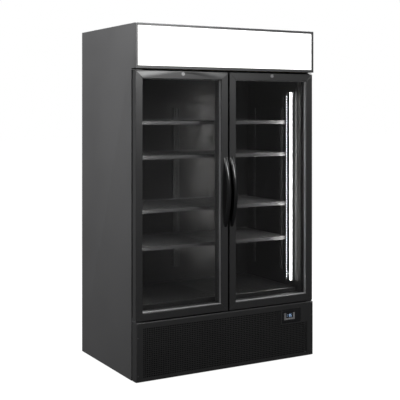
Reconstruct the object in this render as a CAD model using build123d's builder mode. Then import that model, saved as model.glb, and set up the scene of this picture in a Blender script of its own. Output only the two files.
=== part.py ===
from build123d import *
import os

# Upright display refrigerator with two glass doors under a lit sign box.
# Frame: +X to the right, +Y to the back, +Z up, in millimetres. The origin is
# on the floor, under the middle of the whole object, handles included.

os.makedirs("parts", exist_ok=True)

# ---- Driving dimensions ----------------------------------------------------

# Cabinet shell
width = 1212.0  # across the side panels
depth = 775.0  # sign front to back panel
height = 1990.0  # floor to top panel
canopy_height = 252.0  # sign box
base_height = 329.0  # floor to the top of the grille panel
ground_gap = 2.0  # floor to the lowest sheet edge
sheet = 1.5  # outer steel
flange = 20.0  # folded front edge of a side panel
wall = 53.5  # insulated wall, liner included
liner = 1.0
deck = 2.0  # steel over the machine compartment
deck_drop = 6.0  # grille top to the deck
foam_gap = 0.5  # between neighbouring foam slabs

# Cabin
sill_depth = 30.0  # front breaker bars
aperture_bottom = 375.0
aperture_drop = 48.0  # sign box underside to the top of the cabin aperture
header_depth = 51.0
mullion_width = 86.0
mullion_depth = 45.0
mullion_round = 8.0
duct_depth = 58.0  # air space behind the duct panel
duct_sheet = 1.2
duct_rise = 25.0  # cabin floor to the duct panel
duct_slot_rise = 30.0  # its lower edge to the return slots
duct_slot = (50.0, 7.0)
duct_slot_pitch = (70.0, 16.0)
duct_slot_grid = (14, 2)
panel_clear = 1.0  # round the cabin's inner panels
fan_panel_rise = 15.0  # above the aperture top
fan_panel_sheet = 1.2

# Doors
door_setback = 8.5  # behind the sign front
door_thickness = 39.0
gasket_space = 8.3  # closed door to the cabinet front
door_inset = 3.6  # each side
door_gap = 12.0  # between the two doors
door_top_gap = 12.0
door_bottom_gap = 7.0
frame_face = 42.5
mitre = 0.15  # half the saw cut at each corner
glass_setback = 6.0
pane = 4.0
spacer_depth = 16.0
spacer_show = 3.0  # how far the spacer shows past the frame
glass_bite = 10.0  # how far the glass sits in the frame
seal = 0.2  # between glass, spacer and frame
hinge_inset = 13.0  # pin axis from the door's outer edge
hinge_sheet = 4.0
hinge_rise = 1.0  # grille top to the lower bracket
hinge_lift = 3.0  # door top to the upper bracket
hinge_reach = 28.0  # pin axis to the bracket's inner edge
hinge_nose = 14.0  # pin axis to the bracket's front edge
hinge_flange = 18.0
hinge_flange_sheet = 3.0
hung_gap = 0.5  # sign box underside to what hangs below it
pin_radius = 5.0
pin_depth = 28.0
running = 0.05  # radial clearance of everything that turns
gasket_width = 12.0
gasket_inset = 24.0  # from the door's outer edges
gasket_clear = 0.3
gasket_inner_inset = 14.0  # inside the frame's inner edge
gasket_bottom_inset = 18.0

# Handles
handle_length = 410.0
handle_middle = 1029.5
handle_reach = 50.0
handle_width = 26.0
handle_grip = 26.0  # depth of the finger gap
handle_foot = 30.0
handle_inset = 3.0  # from the door's inner edge
handle_round = 5.0
handle_web = 3.0  # closes the finger gap on the side of the other door
handle_web_inset = 1.0

# Locks
lock_drop = 15.0  # below the door top
lock_barrel_radius = 9.5
lock_flange = 1.5  # how far the flange reaches past the barrel
lock_wall = 2.5
lock_proud = 1.5
lock_round = 0.8
plug_proud = 0.4
keyway = (2.0, 3.0, 8.0)
cam_length = 22.0
cam_width = 12.0
cam_sheet = 2.0
cam_clear = 0.8
keeper_sheet = 2.0
keeper_overlap = 4.5
keeper_ahead = 4.0  # cam to the tab in front of it
keeper_width = 26.0

# Shelves
shelf_shares = (0.258, 0.423, 0.6586, 0.8118)  # of the cabin height
notch_pitch = 15.5
shelf_sheet = 1.2
shelf_lip = 22.0
shelf_upstand = 9.0
shelf_setback = 137.0  # cabinet front to shelf front
shelf_rear_gap = 2.0
shelf_gap = 6.0  # between left and right shelves
shelf_side_gap = 5.0  # shelf to upright
upright_width = 26.0
upright_depth = 8.0
upright_front_inset = 74.0  # shelf front to the front uprights
upright_rear_inset = 86.0  # duct panel to the rear uprights
upright_start = 122.0  # above the cabin floor
upright_end = 169.0  # below the aperture top
centre_upright_width = 46.0
slot_height = 7.5
slot_width = 5.0
clip_reach = 21.0
clip_width = 16.0
clip_height = 10.0
arm_width = 10.0
arm_root = 30.0
arm_tip = 12.0
grid_height = 28.0
grid_sheet = 1.5
grid_front_gap = 5.0
grid_back_gap = 2.0
grid_side_gap = 4.0

# Lamps
lamp_setback = 75.0  # cabinet front to lamp
lamp_width = 24.0
lamp_height = 10.0
lamp_dome = 8.0
lamp_edge = 3.0  # housing left showing beside the dome
lamp_cap = 4.0
lamp_round = 1.5
lamp_bottom = 65.0  # above the cabin floor
lamp_top = 70.0  # below the aperture top

# Sign box
border = 14.0
border_bottom = 16.0
border_lip = 4.0
border_leg = 26.0
sign_sheet = 3.0
sign_bite = 6.0
tray_gap = 1.0  # light tray to the frame around it
led_bar_height = 14.0
led_bar_depth = 8.0
led_bars = 3
led_bar_inset = 30.0

# Grille panel and controller
grille_inset = 3.9
grille_gap = 2.5
grille_round = 3.0
screw_inset = 16.0
screw_levels = (37.0, 246.0)
screw_head_radius = 4.0
screw_head = 1.2
screw_shank_radius = 2.0
screw_shank = 9.0
screw_clear = 0.1
bezel_width = 138.0
bezel_height = 84.0
bezel_edge = 96.5  # from the cabinet side to the bezel's right edge
bezel_drop = 30.0  # grille top to the bezel top
bezel_sunk = 1.2
rim_width = 106.0
rim_margin = 1.0  # bezel's left edge to the rim
rim_height = 68.0
rim_depth = 3.0
rim_round = 4.0
module_width = 79.0
module_height = 42.5
module_sunk = 1.0
module_face = 4.0
module_neck = (4.0, 3.0)  # how far the body behind the face is set in
module_depth = 42.0
window_width = 50.0
window_height = 27.0
window_sunk = 1.0
button_width = 11.0
button_height = 5.6
button_pitch = 17.0
button_proud = 1.0
button_round = 0.5
button_depth = 3.0
button_clear = 0.2
button_travel = 0.6

# Machine compartment
pan_level = 20.0
pan_sheet = 2.0
post = 30.0
post_inset = 8.0
frame_gap = 1.0  # base frame to the sheets around it
condenser_width = 460.0
condenser_depth = 50.0
condenser_middle = -100.0
condenser_setback = 12.0
condenser_drop = 10.0  # deck to its top
condenser_lip = 8.0  # frame above and below the fins
fin_set_in = 2.0  # fins behind their frame
shroud_depth = 30.0
shroud_sheet = 1.5
fan_radius = 90.0
fan_tip_clear = 6.0  # blade tips to the edge of the hole
hub_radius = 20.0
hub_height = 24.0
blade_chord = 46.0
blade_sheet = 2.0
blade_pitch = 24.0
blades = 5
blade_root = 2.0  # how far a blade runs into the hub
shaft_radius = 3.0
shaft_length = 24.0  # from inside the hub into the motor
shaft_end = 2.0  # free depth past the shaft
fan_standoff = 17.0  # plate to fan middle
motor_radius = 34.0
motor_height = 50.0
motor_clear = 8.0
leg_ring = 16.0  # edge of the fan hole to the motor legs
leg = 8.0
compressor_radius = 85.0
compressor_height = 170.0
compressor_edge = 276.0  # axis to the right side
compressor_back = 260.0  # axis to the back
mount_height = 14.0
mount_radius = 14.0
mount_plate = (220.0, 160.0, 4.0)
mount_edge = 15.0  # plate edge to the mount's middle
pot_stand = 12.0
pot_stand_radius = 45.0
pot_round = 30.0
seam = 4.0  # weld flange around the pot
seam_height = 6.0
stub_reach = 100.0
stub_levels = (0.35, 0.7)  # of the pot's height: discharge, suction
suction_offset = 40.0  # compressor axis to the suction pipe
discharge_offset = 30.0
liquid_offset = 60.0  # condenser end to the liquid pipe
pipe_bend = 22.0
low_header = 40.0  # above the base pan
high_header = 30.0  # below the condenser top
suction_radius = 5.0
liquid_radius = 3.5
pipe_hole_clear = 2.0
rear_cover_set_in = 15.0
gland_bore = 4.0
gland_steps = ((9.0, 12.0, 6.0), (13.0, 0.0, 4.0), (8.0, 0.0, 9.0))  # radius, reach in and out
gland_edge = 120.0  # to the right side
gland_level = 90.0
vent_slot = (90.0, 8.0)
vent_pitch = (110.0, 24.0)
vent_grid = (6, 9)
rear_screw_inset = 30.0
rear_screw_levels = (40.0, 298.0)

# Evaporator
coil_width = 840.0
coil_depth = 260.0
coil_height = 100.0
coil_drop = 40.0  # below the cabin ceiling
end_plate = 2.0
end_plate_edge = 5.0  # how far an end plate reaches past the fins
coil_back = 160.0  # from the liner's back wall
evaporator_fan_x = 270.0
evaporator_fan_setback = 240.0  # cabinet front to the fan axis

# Feet
foot_radius = 22.0
foot_height = 12.0
foot_round = 4.0
stud_radius = 5.0
stud_height = 50.0
boss_radius = 11.0
boss_height = 12.0
foot_inset_x = 66.0
foot_inset_y = 60.0

# ---- Places that follow from the sizes --------------------------------------

x_side = width / 2
x_skin = x_side - sheet
x_cabin = x_skin - wall
front_depth = door_setback + door_thickness + gasket_space
handle_ahead = handle_reach - door_setback
y_front = (handle_ahead - depth) / 2
y_back = y_front + depth
y_cabinet = y_front + front_depth
y_door = y_front + door_setback
y_door_back = y_door + door_thickness
y_cabin_back = y_back - sheet - wall
y_duct = y_cabin_back - duct_depth
z_canopy = height - canopy_height
z_top = height - sheet
z_door_top = z_canopy - door_top_gap
z_door_bottom = base_height + door_bottom_gap
z_aperture = z_canopy - aperture_drop
z_ceiling = z_top - wall
z_deck = base_height - deck_drop
z_fan_panel = z_aperture + fan_panel_rise
z_pan_top = pan_level + pan_sheet
x_door_outer = x_side - door_inset
x_door_inner = door_gap / 2
x_hinge = x_door_outer - hinge_inset
y_hinge = (y_door + y_door_back) / 2
x_lock = (x_door_inner + x_door_outer) / 2
z_lock = z_door_top - lock_drop
x_handle = x_door_inner + handle_inset + handle_width / 2
x_handle_web = x_door_inner + handle_inset + handle_web_inset + handle_web / 2
y_shelf_front = y_cabinet + shelf_setback
y_shelf_back = y_duct - upright_depth - shelf_rear_gap
y_upright_front = y_shelf_front + upright_front_inset
y_upright_rear = y_duct - upright_rear_inset
z_upright_bottom = aperture_bottom + upright_start
z_upright_top = z_aperture - upright_end
x_shelf_outer = x_cabin - upright_depth - shelf_side_gap
cabin_height = z_aperture - aperture_bottom
x_bezel = x_side - bezel_edge - bezel_width / 2
z_bezel = base_height - bezel_drop - bezel_height / 2
x_rim = x_bezel - (bezel_width - rim_width) / 2 + rim_margin
y_bezel = y_front + bezel_sunk
y_rim = y_bezel - rim_depth
z_button = z_bezel - window_height / 2 - (module_height - window_height) / 4
y_condenser = y_cabinet + condenser_setback
y_shroud = y_condenser + condenser_depth
y_shroud_back = y_shroud + shroud_depth
z_condenser_top = z_deck - condenser_drop
x_compressor = x_side - compressor_edge
y_compressor = y_back - compressor_back
y_coil_back = y_cabin_back - coil_back
z_coil_top = z_ceiling - coil_drop
y_evaporator_fan = y_cabinet + evaporator_fan_setback
x_coil_end = condenser_middle + condenser_width / 2
y_pipe = y_duct + duct_depth / 2
x_suction = x_compressor + suction_offset
x_discharge = x_compressor - discharge_offset
x_liquid = x_coil_end + liquid_offset
fan_hole_radius = fan_radius + fan_tip_clear
leg_radius = fan_hole_radius + leg_ring
lock_plug_radius = lock_barrel_radius - lock_wall
lock_flange_radius = lock_barrel_radius + lock_flange


def notched(share):
    """Height of the upright notch nearest to a share of the cabin height."""
    wanted = aperture_bottom + share * cabin_height
    return z_upright_bottom + round((wanted - z_upright_bottom) / notch_pitch) * notch_pitch


shelf_tops = [notched(share) for share in shelf_shares]


def slab(x0, x1, y0, y1, z0, z1, mode=Mode.ADD):
    """Add or cut a box between two corners, given in any order."""
    with Locations(((x0 + x1) / 2, (y0 + y1) / 2, (z0 + z1) / 2)):
        Box(abs(x1 - x0), abs(y1 - y0), abs(z1 - z0), mode=mode)


def rod(x, y, z, radius, length, rotation=(0, 0, 0), mode=Mode.ADD):
    """Add or cut a cylinder about its middle, upright unless it is turned."""
    with Locations((x, y, z)):
        Cylinder(radius, length, rotation=rotation, mode=mode)


along_y = (90, 0, 0)


def finish(piece, name):
    """Label a finished piece and write its STEP file."""
    piece.part.label = name
    export_step(piece.part, f"parts/{name}.step")


# ---- Outer shell ------------------------------------------------------------


def side_panel(side):
    """Flag-shaped painted sheet with a folded front edge below the sign box."""
    with BuildPart() as panel:
        with BuildSketch(Plane.YZ.offset(side * x_side)):
            with BuildLine():
                Polyline(
                    (y_back, ground_gap),
                    (y_back, z_top),
                    (y_front, z_top),
                    (y_front, z_canopy),
                    (y_cabinet, z_canopy),
                    (y_cabinet, ground_gap),
                    close=True,
                )
            make_face()
        extrude(amount=-side * sheet)
        slab(
            side * x_skin,
            side * (x_skin - flange),
            y_cabinet,
            y_cabinet + sheet,
            ground_gap,
            z_canopy,
        )
    return panel


finish(side_panel(-1), "side_panel_left")
finish(side_panel(1), "side_panel_right")

y_rear_cover = y_back - rear_cover_set_in
x_gland = x_side - gland_edge
z_gland = gland_level
x_screw = x_side - rear_screw_inset
rear_screws = [(x, z) for x in (-x_screw, 0, x_screw) for z in rear_screw_levels]

with BuildPart() as top_and_back:
    slab(-x_side, x_side, y_front, y_back, z_top, height)
    slab(-x_skin, x_skin, y_back - sheet, y_back, z_deck - deck, z_top - seal)
    # The cover of the machine compartment is set in, with rows of vent slots.
    z_cover_top = z_deck - deck - frame_gap
    slab(-x_skin, x_skin, y_rear_cover - sheet, y_rear_cover, ground_gap, z_cover_top)
    with BuildSketch(Plane.XZ.offset(-y_rear_cover)):
        with Locations((-x_side / 4, (z_deck + ground_gap) / 2)):
            with GridLocations(*vent_pitch, *vent_grid):
                SlotOverall(*vent_slot)
        with Locations((x_gland, z_gland)):
            Circle(gland_steps[0][0] + screw_clear)
        with Locations(*rear_screws):
            Circle(screw_shank_radius + screw_clear)
    extrude(amount=sheet, both=True, mode=Mode.SUBTRACT)
finish(top_and_back, "top_and_back_panels")

pipe_spots = [(x_suction, suction_radius), (x_liquid, liquid_radius)]


def pipe_holes(z0, z1):
    """Cut the holes where the refrigerant pipes pass up into the duct."""
    for x, radius in pipe_spots:
        rod(x, y_pipe, (z0 + z1) / 2, radius + pipe_hole_clear, z1 - z0, mode=Mode.SUBTRACT)


foot_spots = {
    "front_left": (-x_side + foot_inset_x, y_cabinet + foot_inset_y),
    "front_right": (x_side - foot_inset_x, y_cabinet + foot_inset_y),
    "back_left": (-x_side + foot_inset_x, y_back - foot_inset_y),
    "back_right": (x_side - foot_inset_x, y_back - foot_inset_y),
}

with BuildPart() as base_frame:
    y_frame_front = y_cabinet + 2 * sheet
    y_frame_back = y_rear_cover - sheet - frame_gap
    x_frame = x_skin - frame_gap
    slab(-x_frame, x_frame, y_frame_front, y_frame_back, pan_level, z_pan_top)
    slab(-x_frame, x_frame, y_frame_front, y_frame_back, z_deck - deck, z_deck)
    for x in (-x_frame + post_inset, x_frame - post_inset - post):
        for y in (y_frame_front + post_inset, y_frame_back - post_inset - post):
            slab(x, x + post, y, y + post, z_pan_top, z_deck - deck)
    with Locations(*[(x, y, z_pan_top + boss_height / 2) for x, y in foot_spots.values()]):
        Cylinder(boss_radius, boss_height)
    with Locations(*[(x, y, pan_level) for x, y in foot_spots.values()]):
        Cylinder(stud_radius + running, 3 * boss_height, mode=Mode.SUBTRACT)
    pipe_holes(z_deck - deck, z_deck)
finish(base_frame, "base_frame")

# ---- Insulated body ---------------------------------------------------------

y_inner_front = y_cabinet + sill_depth + foam_gap

with BuildPart() as insulation:
    for side in (-1, 1):
        slab(
            side * x_skin,
            side * (x_cabin + liner),
            y_inner_front,
            y_back - sheet,
            z_deck,
            z_top,
        )
    x_slab = x_cabin + liner - foam_gap
    y_slab = y_cabin_back + liner
    slab(-x_slab, x_slab, y_slab, y_back - sheet, z_deck, z_top)
    slab(-x_slab, x_slab, y_inner_front, y_slab - foam_gap, z_deck, aperture_bottom - liner)
    slab(-x_slab, x_slab, y_inner_front, y_slab - foam_gap, z_ceiling + liner, z_top)
    slab(
        -x_cabin + foam_gap,
        x_cabin - foam_gap,
        y_cabinet + foam_gap,
        y_cabinet + header_depth - liner,
        z_canopy + foam_gap,
        z_ceiling - foam_gap,
    )
    pipe_holes(z_deck, aperture_bottom)
finish(insulation, "insulation_foam")

with BuildPart() as inner_liner:
    slab(
        -x_cabin - liner,
        x_cabin + liner,
        y_inner_front,
        y_cabin_back + liner,
        aperture_bottom - liner,
        z_ceiling + liner,
    )
    slab(
        -x_cabin,
        x_cabin,
        y_inner_front - liner,
        y_cabin_back,
        aperture_bottom,
        z_ceiling,
        mode=Mode.SUBTRACT,
    )
    slab(
        -x_cabin,
        x_cabin,
        y_cabinet + header_depth - liner,
        y_cabinet + header_depth,
        z_canopy,
        z_ceiling,
    )
    pipe_holes(aperture_bottom - liner, aperture_bottom)
finish(inner_liner, "inner_liner")

with BuildPart() as front_jamb:
    x_bar = x_cabin - foam_gap
    for side in (-1, 1):
        # Each side bar is stepped to clear the folded edge of the side panel.
        slab(
            side * x_cabin,
            side * (x_skin - flange - foam_gap),
            y_cabinet,
            y_cabinet + sill_depth,
            z_deck + frame_gap,
            z_canopy - foam_gap,
        )
        slab(
            side * x_cabin,
            side * (x_skin - foam_gap),
            y_cabinet + sheet + foam_gap,
            y_cabinet + sill_depth,
            z_deck + frame_gap,
            z_canopy - foam_gap,
        )
    slab(
        -x_bar,
        x_bar,
        y_cabinet,
        y_cabinet + sill_depth,
        z_deck + frame_gap,
        aperture_bottom,
    )
    slab(-x_bar, x_bar, y_cabinet, y_cabinet + header_depth, z_aperture, z_canopy - foam_gap)
finish(front_jamb, "front_jamb")

with BuildPart() as centre_mullion:
    slab(
        -mullion_width / 2,
        mullion_width / 2,
        y_cabinet,
        y_cabinet + mullion_depth,
        aperture_bottom + foam_gap,
        z_aperture - foam_gap,
    )
    fillet(centre_mullion.edges().filter_by(Axis.Z).group_by(Axis.Y)[-1], radius=mullion_round)
finish(centre_mullion, "centre_mullion")

# ---- Cabin fittings ---------------------------------------------------------

x_panel = x_cabin - 2 * panel_clear

with BuildPart() as air_duct_panel:
    duct_bottom = aperture_bottom + duct_rise
    duct_top = z_fan_panel - panel_clear
    slab(-x_panel, x_panel, y_duct, y_duct + duct_sheet, duct_bottom, duct_top)
    with BuildSketch(Plane.XZ.offset(-y_duct)):
        with Locations((0, duct_bottom + duct_slot_rise)):
            with GridLocations(*duct_slot_pitch, *duct_slot_grid):
                SlotOverall(*duct_slot)
    extrude(amount=2 * duct_sheet, both=True, mode=Mode.SUBTRACT)
finish(air_duct_panel, "air_duct_panel")

notch_count = int((z_upright_top - z_upright_bottom) / notch_pitch)
z_notch_middle = z_upright_bottom + notch_count * notch_pitch / 2

with BuildPart() as shelf_uprights:
    for side in (-1, 1):
        for y in (y_upright_front, y_upright_rear):
            slab(
                side * x_cabin,
                side * (x_cabin - upright_depth),
                y - upright_width / 2,
                y + upright_width / 2,
                z_upright_bottom,
                z_upright_top,
            )
            with BuildSketch(Plane.YZ.offset(side * x_cabin)):
                with Locations((y, z_notch_middle)):
                    with GridLocations(1, notch_pitch, 1, notch_count):
                        Rectangle(slot_width, slot_height)
            extrude(amount=-side * upright_depth, mode=Mode.SUBTRACT)
    slab(
        -centre_upright_width / 2,
        centre_upright_width / 2,
        y_duct - upright_depth,
        y_duct,
        z_upright_bottom,
        z_upright_top,
    )
    with BuildSketch(Plane.XZ.offset(-y_duct)):
        with Locations((0, z_notch_middle)):
            with GridLocations(centre_upright_width / 2, notch_pitch, 2, notch_count):
                Rectangle(slot_width, slot_height)
    extrude(amount=upright_depth, mode=Mode.SUBTRACT)
finish(shelf_uprights, "shelf_uprights")

with BuildPart() as shelf_supports:
    for top in shelf_tops:
        z_seat = top - shelf_sheet
        for side in (-1, 1):
            for y in (y_upright_front, y_upright_rear):
                slab(
                    side * (x_cabin - upright_depth),
                    side * (x_cabin - upright_depth - clip_reach),
                    y - clip_width / 2,
                    y + clip_width / 2,
                    z_seat - clip_height,
                    z_seat,
                )
        # A cantilever arm on the centre upright carries both inner shelf edges.
        with BuildSketch(Plane.YZ):
            with BuildLine():
                Polyline(
                    (y_duct - upright_depth, z_seat),
                    (y_duct - upright_depth, z_seat - arm_root),
                    (y_upright_front, z_seat - arm_tip),
                    (y_upright_front, z_seat),
                    close=True,
                )
            make_face()
        extrude(amount=arm_width / 2, both=True)
finish(shelf_supports, "shelf_supports")


def shelf(side, top):
    """Sheet shelf with a turned-down front lip and a turned-up rear edge."""
    x0 = side * shelf_gap / 2
    x1 = side * x_shelf_outer
    with BuildPart() as tray:
        slab(x0, x1, y_shelf_front, y_shelf_back, top - shelf_sheet, top)
        slab(x0, x1, y_shelf_front, y_shelf_front + shelf_sheet, top - shelf_lip, top)
        slab(x0, x1, y_shelf_back - shelf_sheet, y_shelf_back, top, top + shelf_upstand)
    return tray


for number, top in enumerate(shelf_tops, start=1):
    finish(shelf(-1, top), f"shelf_left_{number}")
    finish(shelf(1, top), f"shelf_right_{number}")

with BuildPart() as floor_grids:
    z_grid = aperture_bottom + grid_height
    y_grid_front = y_cabinet + mullion_depth + grid_front_gap
    y_grid_back = y_duct - grid_back_gap
    for side in (-1, 1):
        x0 = side * shelf_gap / 2
        x1 = side * (x_cabin - grid_side_gap)
        slab(x0, x1, y_grid_front, y_grid_back, z_grid - grid_sheet, z_grid)
        slab(x0, x1, y_grid_front, y_grid_front + grid_sheet, aperture_bottom, z_grid)
        slab(x0, x1, y_grid_back - grid_sheet, y_grid_back, aperture_bottom, z_grid)
finish(floor_grids, "floor_grids")

y_lamp = y_cabinet + lamp_setback + lamp_width / 2
z_lamp_bottom = aperture_bottom + lamp_bottom
z_lamp_top = z_aperture - lamp_top

with BuildPart() as lamp_housings:
    for side in (-1, 1):
        slab(
            side * x_cabin,
            side * (x_cabin - lamp_height),
            y_lamp - lamp_width / 2,
            y_lamp + lamp_width / 2,
            z_lamp_bottom,
            z_lamp_top,
        )
    fillet(lamp_housings.edges().filter_by(Axis.Z), radius=lamp_round)
finish(lamp_housings, "lamp_housings")

with BuildPart() as lamp_diffusers:
    for side in (-1, 1):
        with BuildSketch(Plane.XY.offset(z_lamp_bottom + lamp_cap)):
            with Locations((side * (x_cabin - lamp_height), y_lamp)):
                Ellipse(lamp_dome, lamp_width / 2 - lamp_edge)
            with Locations((side * x_cabin, y_lamp)):
                Rectangle(2 * lamp_height, lamp_width, mode=Mode.SUBTRACT)
        extrude(amount=z_lamp_top - z_lamp_bottom - 2 * lamp_cap)
finish(lamp_diffusers, "lamp_diffusers")

# ---- Sign box ---------------------------------------------------------------

x_border = x_side - border
z_border_top = height - border
z_border_bottom = z_canopy + border_bottom

with BuildPart() as canopy_frame:
    for side in (-1, 1):
        slab(side * x_skin, side * x_border, y_front, y_front + border_lip, z_canopy, z_top)
        slab(
            side * x_skin,
            side * (x_skin - border_lip),
            y_front,
            y_front + border_leg,
            z_canopy,
            z_top,
        )
    x_rail = x_border - mitre
    slab(-x_rail, x_rail, y_front, y_front + border_lip, z_border_top, z_top)
    slab(-x_rail, x_rail, y_front, y_front + border_leg, z_top - border_lip, z_top)
    slab(-x_rail, x_rail, y_front, y_front + border_lip, z_canopy, z_border_bottom)
    slab(-x_rail, x_rail, y_front, y_front + border_leg, z_canopy, z_canopy + border_lip)
finish(canopy_frame, "canopy_frame")

with BuildPart() as sign_panel:
    slab(
        -x_border - sign_bite,
        x_border + sign_bite,
        y_front + border_lip,
        y_front + border_lip + sign_sheet,
        z_border_bottom - sign_bite,
        z_border_top + sign_bite,
    )
finish(sign_panel, "sign_panel")

with BuildPart() as canopy_light_tray:
    x_tray = x_skin - border_lip - tray_gap
    z_tray = z_canopy + border_lip / 2
    y_tray = y_front + border_leg + tray_gap
    slab(-x_tray, x_tray, y_tray, y_cabinet, z_tray, z_tray + sheet)
    z_tray_top = z_top - border_lip - tray_gap
    slab(-x_tray, x_tray, y_cabinet - sheet, y_cabinet, z_tray, z_tray_top)
    led_pitch = (canopy_height - 2 * border_bottom) / led_bars
    for row in range(led_bars):
        z_bar = z_canopy + canopy_height / 2 + led_pitch * (row - (led_bars - 1) / 2)
        with Locations((0, y_cabinet - sheet - led_bar_depth / 2, z_bar)):
            Box(2 * (x_tray - led_bar_inset), led_bar_depth, led_bar_height)
finish(canopy_light_tray, "canopy_light_tray")

# ---- Grille panel and temperature controller --------------------------------

x_grille = x_side - grille_inset
y_grille_back = y_cabinet - grille_gap
grille_screws = [(side * (x_side - screw_inset), z) for side in (-1, 1) for z in screw_levels]

with BuildPart() as grille_panel:
    slab(-x_grille, x_grille, y_front, y_grille_back, ground_gap, base_height)
    fillet(grille_panel.edges().filter_by(Axis.Z).group_by(Axis.Y)[0], radius=grille_round)
    slab(
        -x_grille + sheet,
        x_grille - sheet,
        y_front + sheet,
        y_grille_back + sheet,
        ground_gap + sheet,
        base_height - sheet,
        mode=Mode.SUBTRACT,
    )
    with BuildSketch(Plane.XZ.offset(-y_front)):
        with Locations((x_bezel, z_bezel)):
            Rectangle(bezel_width, bezel_height)
        with Locations(*grille_screws):
            Circle(screw_shank_radius + screw_clear)
    extrude(amount=-2 * sheet, mode=Mode.SUBTRACT)
finish(grille_panel, "grille_panel")

with BuildPart() as panel_screws:
    for x, z in grille_screws:
        rod(x, y_front - screw_head / 2, z, screw_head_radius, screw_head, along_y)
        rod(x, y_front + screw_shank / 2, z, screw_shank_radius, screw_shank, along_y)
    for x, z in rear_screws:
        rod(x, y_rear_cover + screw_head / 2, z, screw_head_radius, screw_head, along_y)
        rod(x, y_rear_cover - screw_shank / 2, z, screw_shank_radius, screw_shank, along_y)
finish(panel_screws, "panel_screws")

with BuildPart() as controller_bezel:
    half_width = bezel_width / 2 - button_clear
    half_height = bezel_height / 2 - button_clear
    slab(
        x_bezel - half_width,
        x_bezel + half_width,
        y_bezel,
        y_bezel + 2 * sheet,
        z_bezel - half_height,
        z_bezel + half_height,
    )
    slab(
        x_rim - rim_width / 2,
        x_rim + rim_width / 2,
        y_rim,
        y_bezel,
        z_bezel - rim_height / 2,
        z_bezel + rim_height / 2,
    )
    fillet(controller_bezel.edges().filter_by(Axis.Y).group_by(Axis.Y)[0], radius=rim_round)
    slab(
        x_rim - module_width / 2 - button_clear,
        x_rim + module_width / 2 + button_clear,
        y_rim - 1,
        y_bezel + 3 * sheet,
        z_bezel - module_height / 2 - button_clear,
        z_bezel + module_height / 2 + button_clear,
        mode=Mode.SUBTRACT,
    )
finish(controller_bezel, "controller_bezel")

z_window = z_bezel + (module_height - window_height) / 4
y_module = y_rim + module_sunk
button_spots = {
    "set": x_rim - button_pitch,
    "up": x_rim,
    "down": x_rim + button_pitch,
}

with BuildPart() as controller_display:
    slab(
        x_rim - module_width / 2,
        x_rim + module_width / 2,
        y_module,
        y_module + module_face,
        z_bezel - module_height / 2,
        z_bezel + module_height / 2,
    )
    slab(
        x_rim - module_width / 2 + module_neck[0],
        x_rim + module_width / 2 - module_neck[0],
        y_module + module_face,
        y_module + module_depth,
        z_bezel - module_height / 2 + module_neck[1],
        z_bezel + module_height / 2 - module_neck[1],
    )
    slab(
        x_rim - window_width / 2,
        x_rim + window_width / 2,
        y_module - 1,
        y_module + window_sunk,
        z_window - window_height / 2,
        z_window + window_height / 2,
        mode=Mode.SUBTRACT,
    )
    for x in button_spots.values():
        slab(
            x - button_width / 2 - button_clear,
            x + button_width / 2 + button_clear,
            y_module - 1,
            y_module + button_depth + button_travel + button_clear,
            z_button - button_height / 2 - button_clear,
            z_button + button_height / 2 + button_clear,
            mode=Mode.SUBTRACT,
        )
finish(controller_display, "controller_display")

for key, x in button_spots.items():
    with BuildPart() as button:
        slab(
            x - button_width / 2,
            x + button_width / 2,
            y_module - button_proud,
            y_module + button_depth,
            z_button - button_height / 2,
            z_button + button_height / 2,
        )
        fillet(button.faces().sort_by(Axis.Y)[0].edges(), radius=button_round)
    finish(button, f"button_{key}")

# ---- Machine compartment ----------------------------------------------------

z_condenser = (z_pan_top + z_condenser_top) / 2

with BuildPart() as condenser_coil:
    x0 = condenser_middle - condenser_width / 2
    slab(x0, x_coil_end, y_condenser, y_shroud, z_pan_top, z_condenser_top)
    # The fin pack stands back a little from its end plates.
    slab(
        x0 + fin_set_in,
        x_coil_end - fin_set_in,
        y_condenser - fin_set_in,
        y_condenser + fin_set_in,
        z_pan_top + condenser_lip,
        z_condenser_top - condenser_lip,
        mode=Mode.SUBTRACT,
    )
finish(condenser_coil, "condenser_coil")

with BuildPart() as condenser_shroud:
    slab(x0, x_coil_end, y_shroud, y_shroud_back, z_pan_top, z_condenser_top)
    slab(
        x0 + shroud_sheet,
        x_coil_end - shroud_sheet,
        y_shroud - 1,
        y_shroud_back - shroud_sheet,
        z_pan_top + shroud_sheet,
        z_condenser_top - shroud_sheet,
        mode=Mode.SUBTRACT,
    )
    rod(
        condenser_middle,
        y_shroud_back,
        z_condenser,
        fan_hole_radius,
        4 * shroud_sheet,
        along_y,
        mode=Mode.SUBTRACT,
    )
finish(condenser_shroud, "condenser_shroud")

condenser_fan_plane = Plane(
    origin=(condenser_middle, y_shroud_back + fan_standoff, z_condenser),
    x_dir=(1, 0, 0),
    z_dir=(0, 1, 0),
)
fan_plate_top = z_fan_panel + fan_panel_sheet
evaporator_fan_planes = {
    side: Plane(origin=(x, y_evaporator_fan, fan_plate_top + fan_standoff))
    for side, x in (("left", -evaporator_fan_x), ("right", evaporator_fan_x))
}
motor_start = hub_height / 2 + motor_clear


def fan(plane):
    """Axial fan whose shaft runs from the hub into its motor."""
    with BuildPart(plane) as rotor:
        Cylinder(hub_radius, hub_height)
        with PolarLocations((fan_radius + hub_radius) / 2 - blade_root, blades):
            Box(fan_radius - hub_radius, blade_chord, blade_sheet, rotation=(blade_pitch, 0, 0))
        Cylinder(fan_radius, 2 * hub_height, mode=Mode.INTERSECT)
        with Locations((0, 0, motor_start)):
            Cylinder(shaft_radius, shaft_length)
    return rotor


finish(fan(condenser_fan_plane), "condenser_fan")
for side, plane in evaporator_fan_planes.items():
    finish(fan(plane), f"evaporator_fan_{side}")

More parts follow.
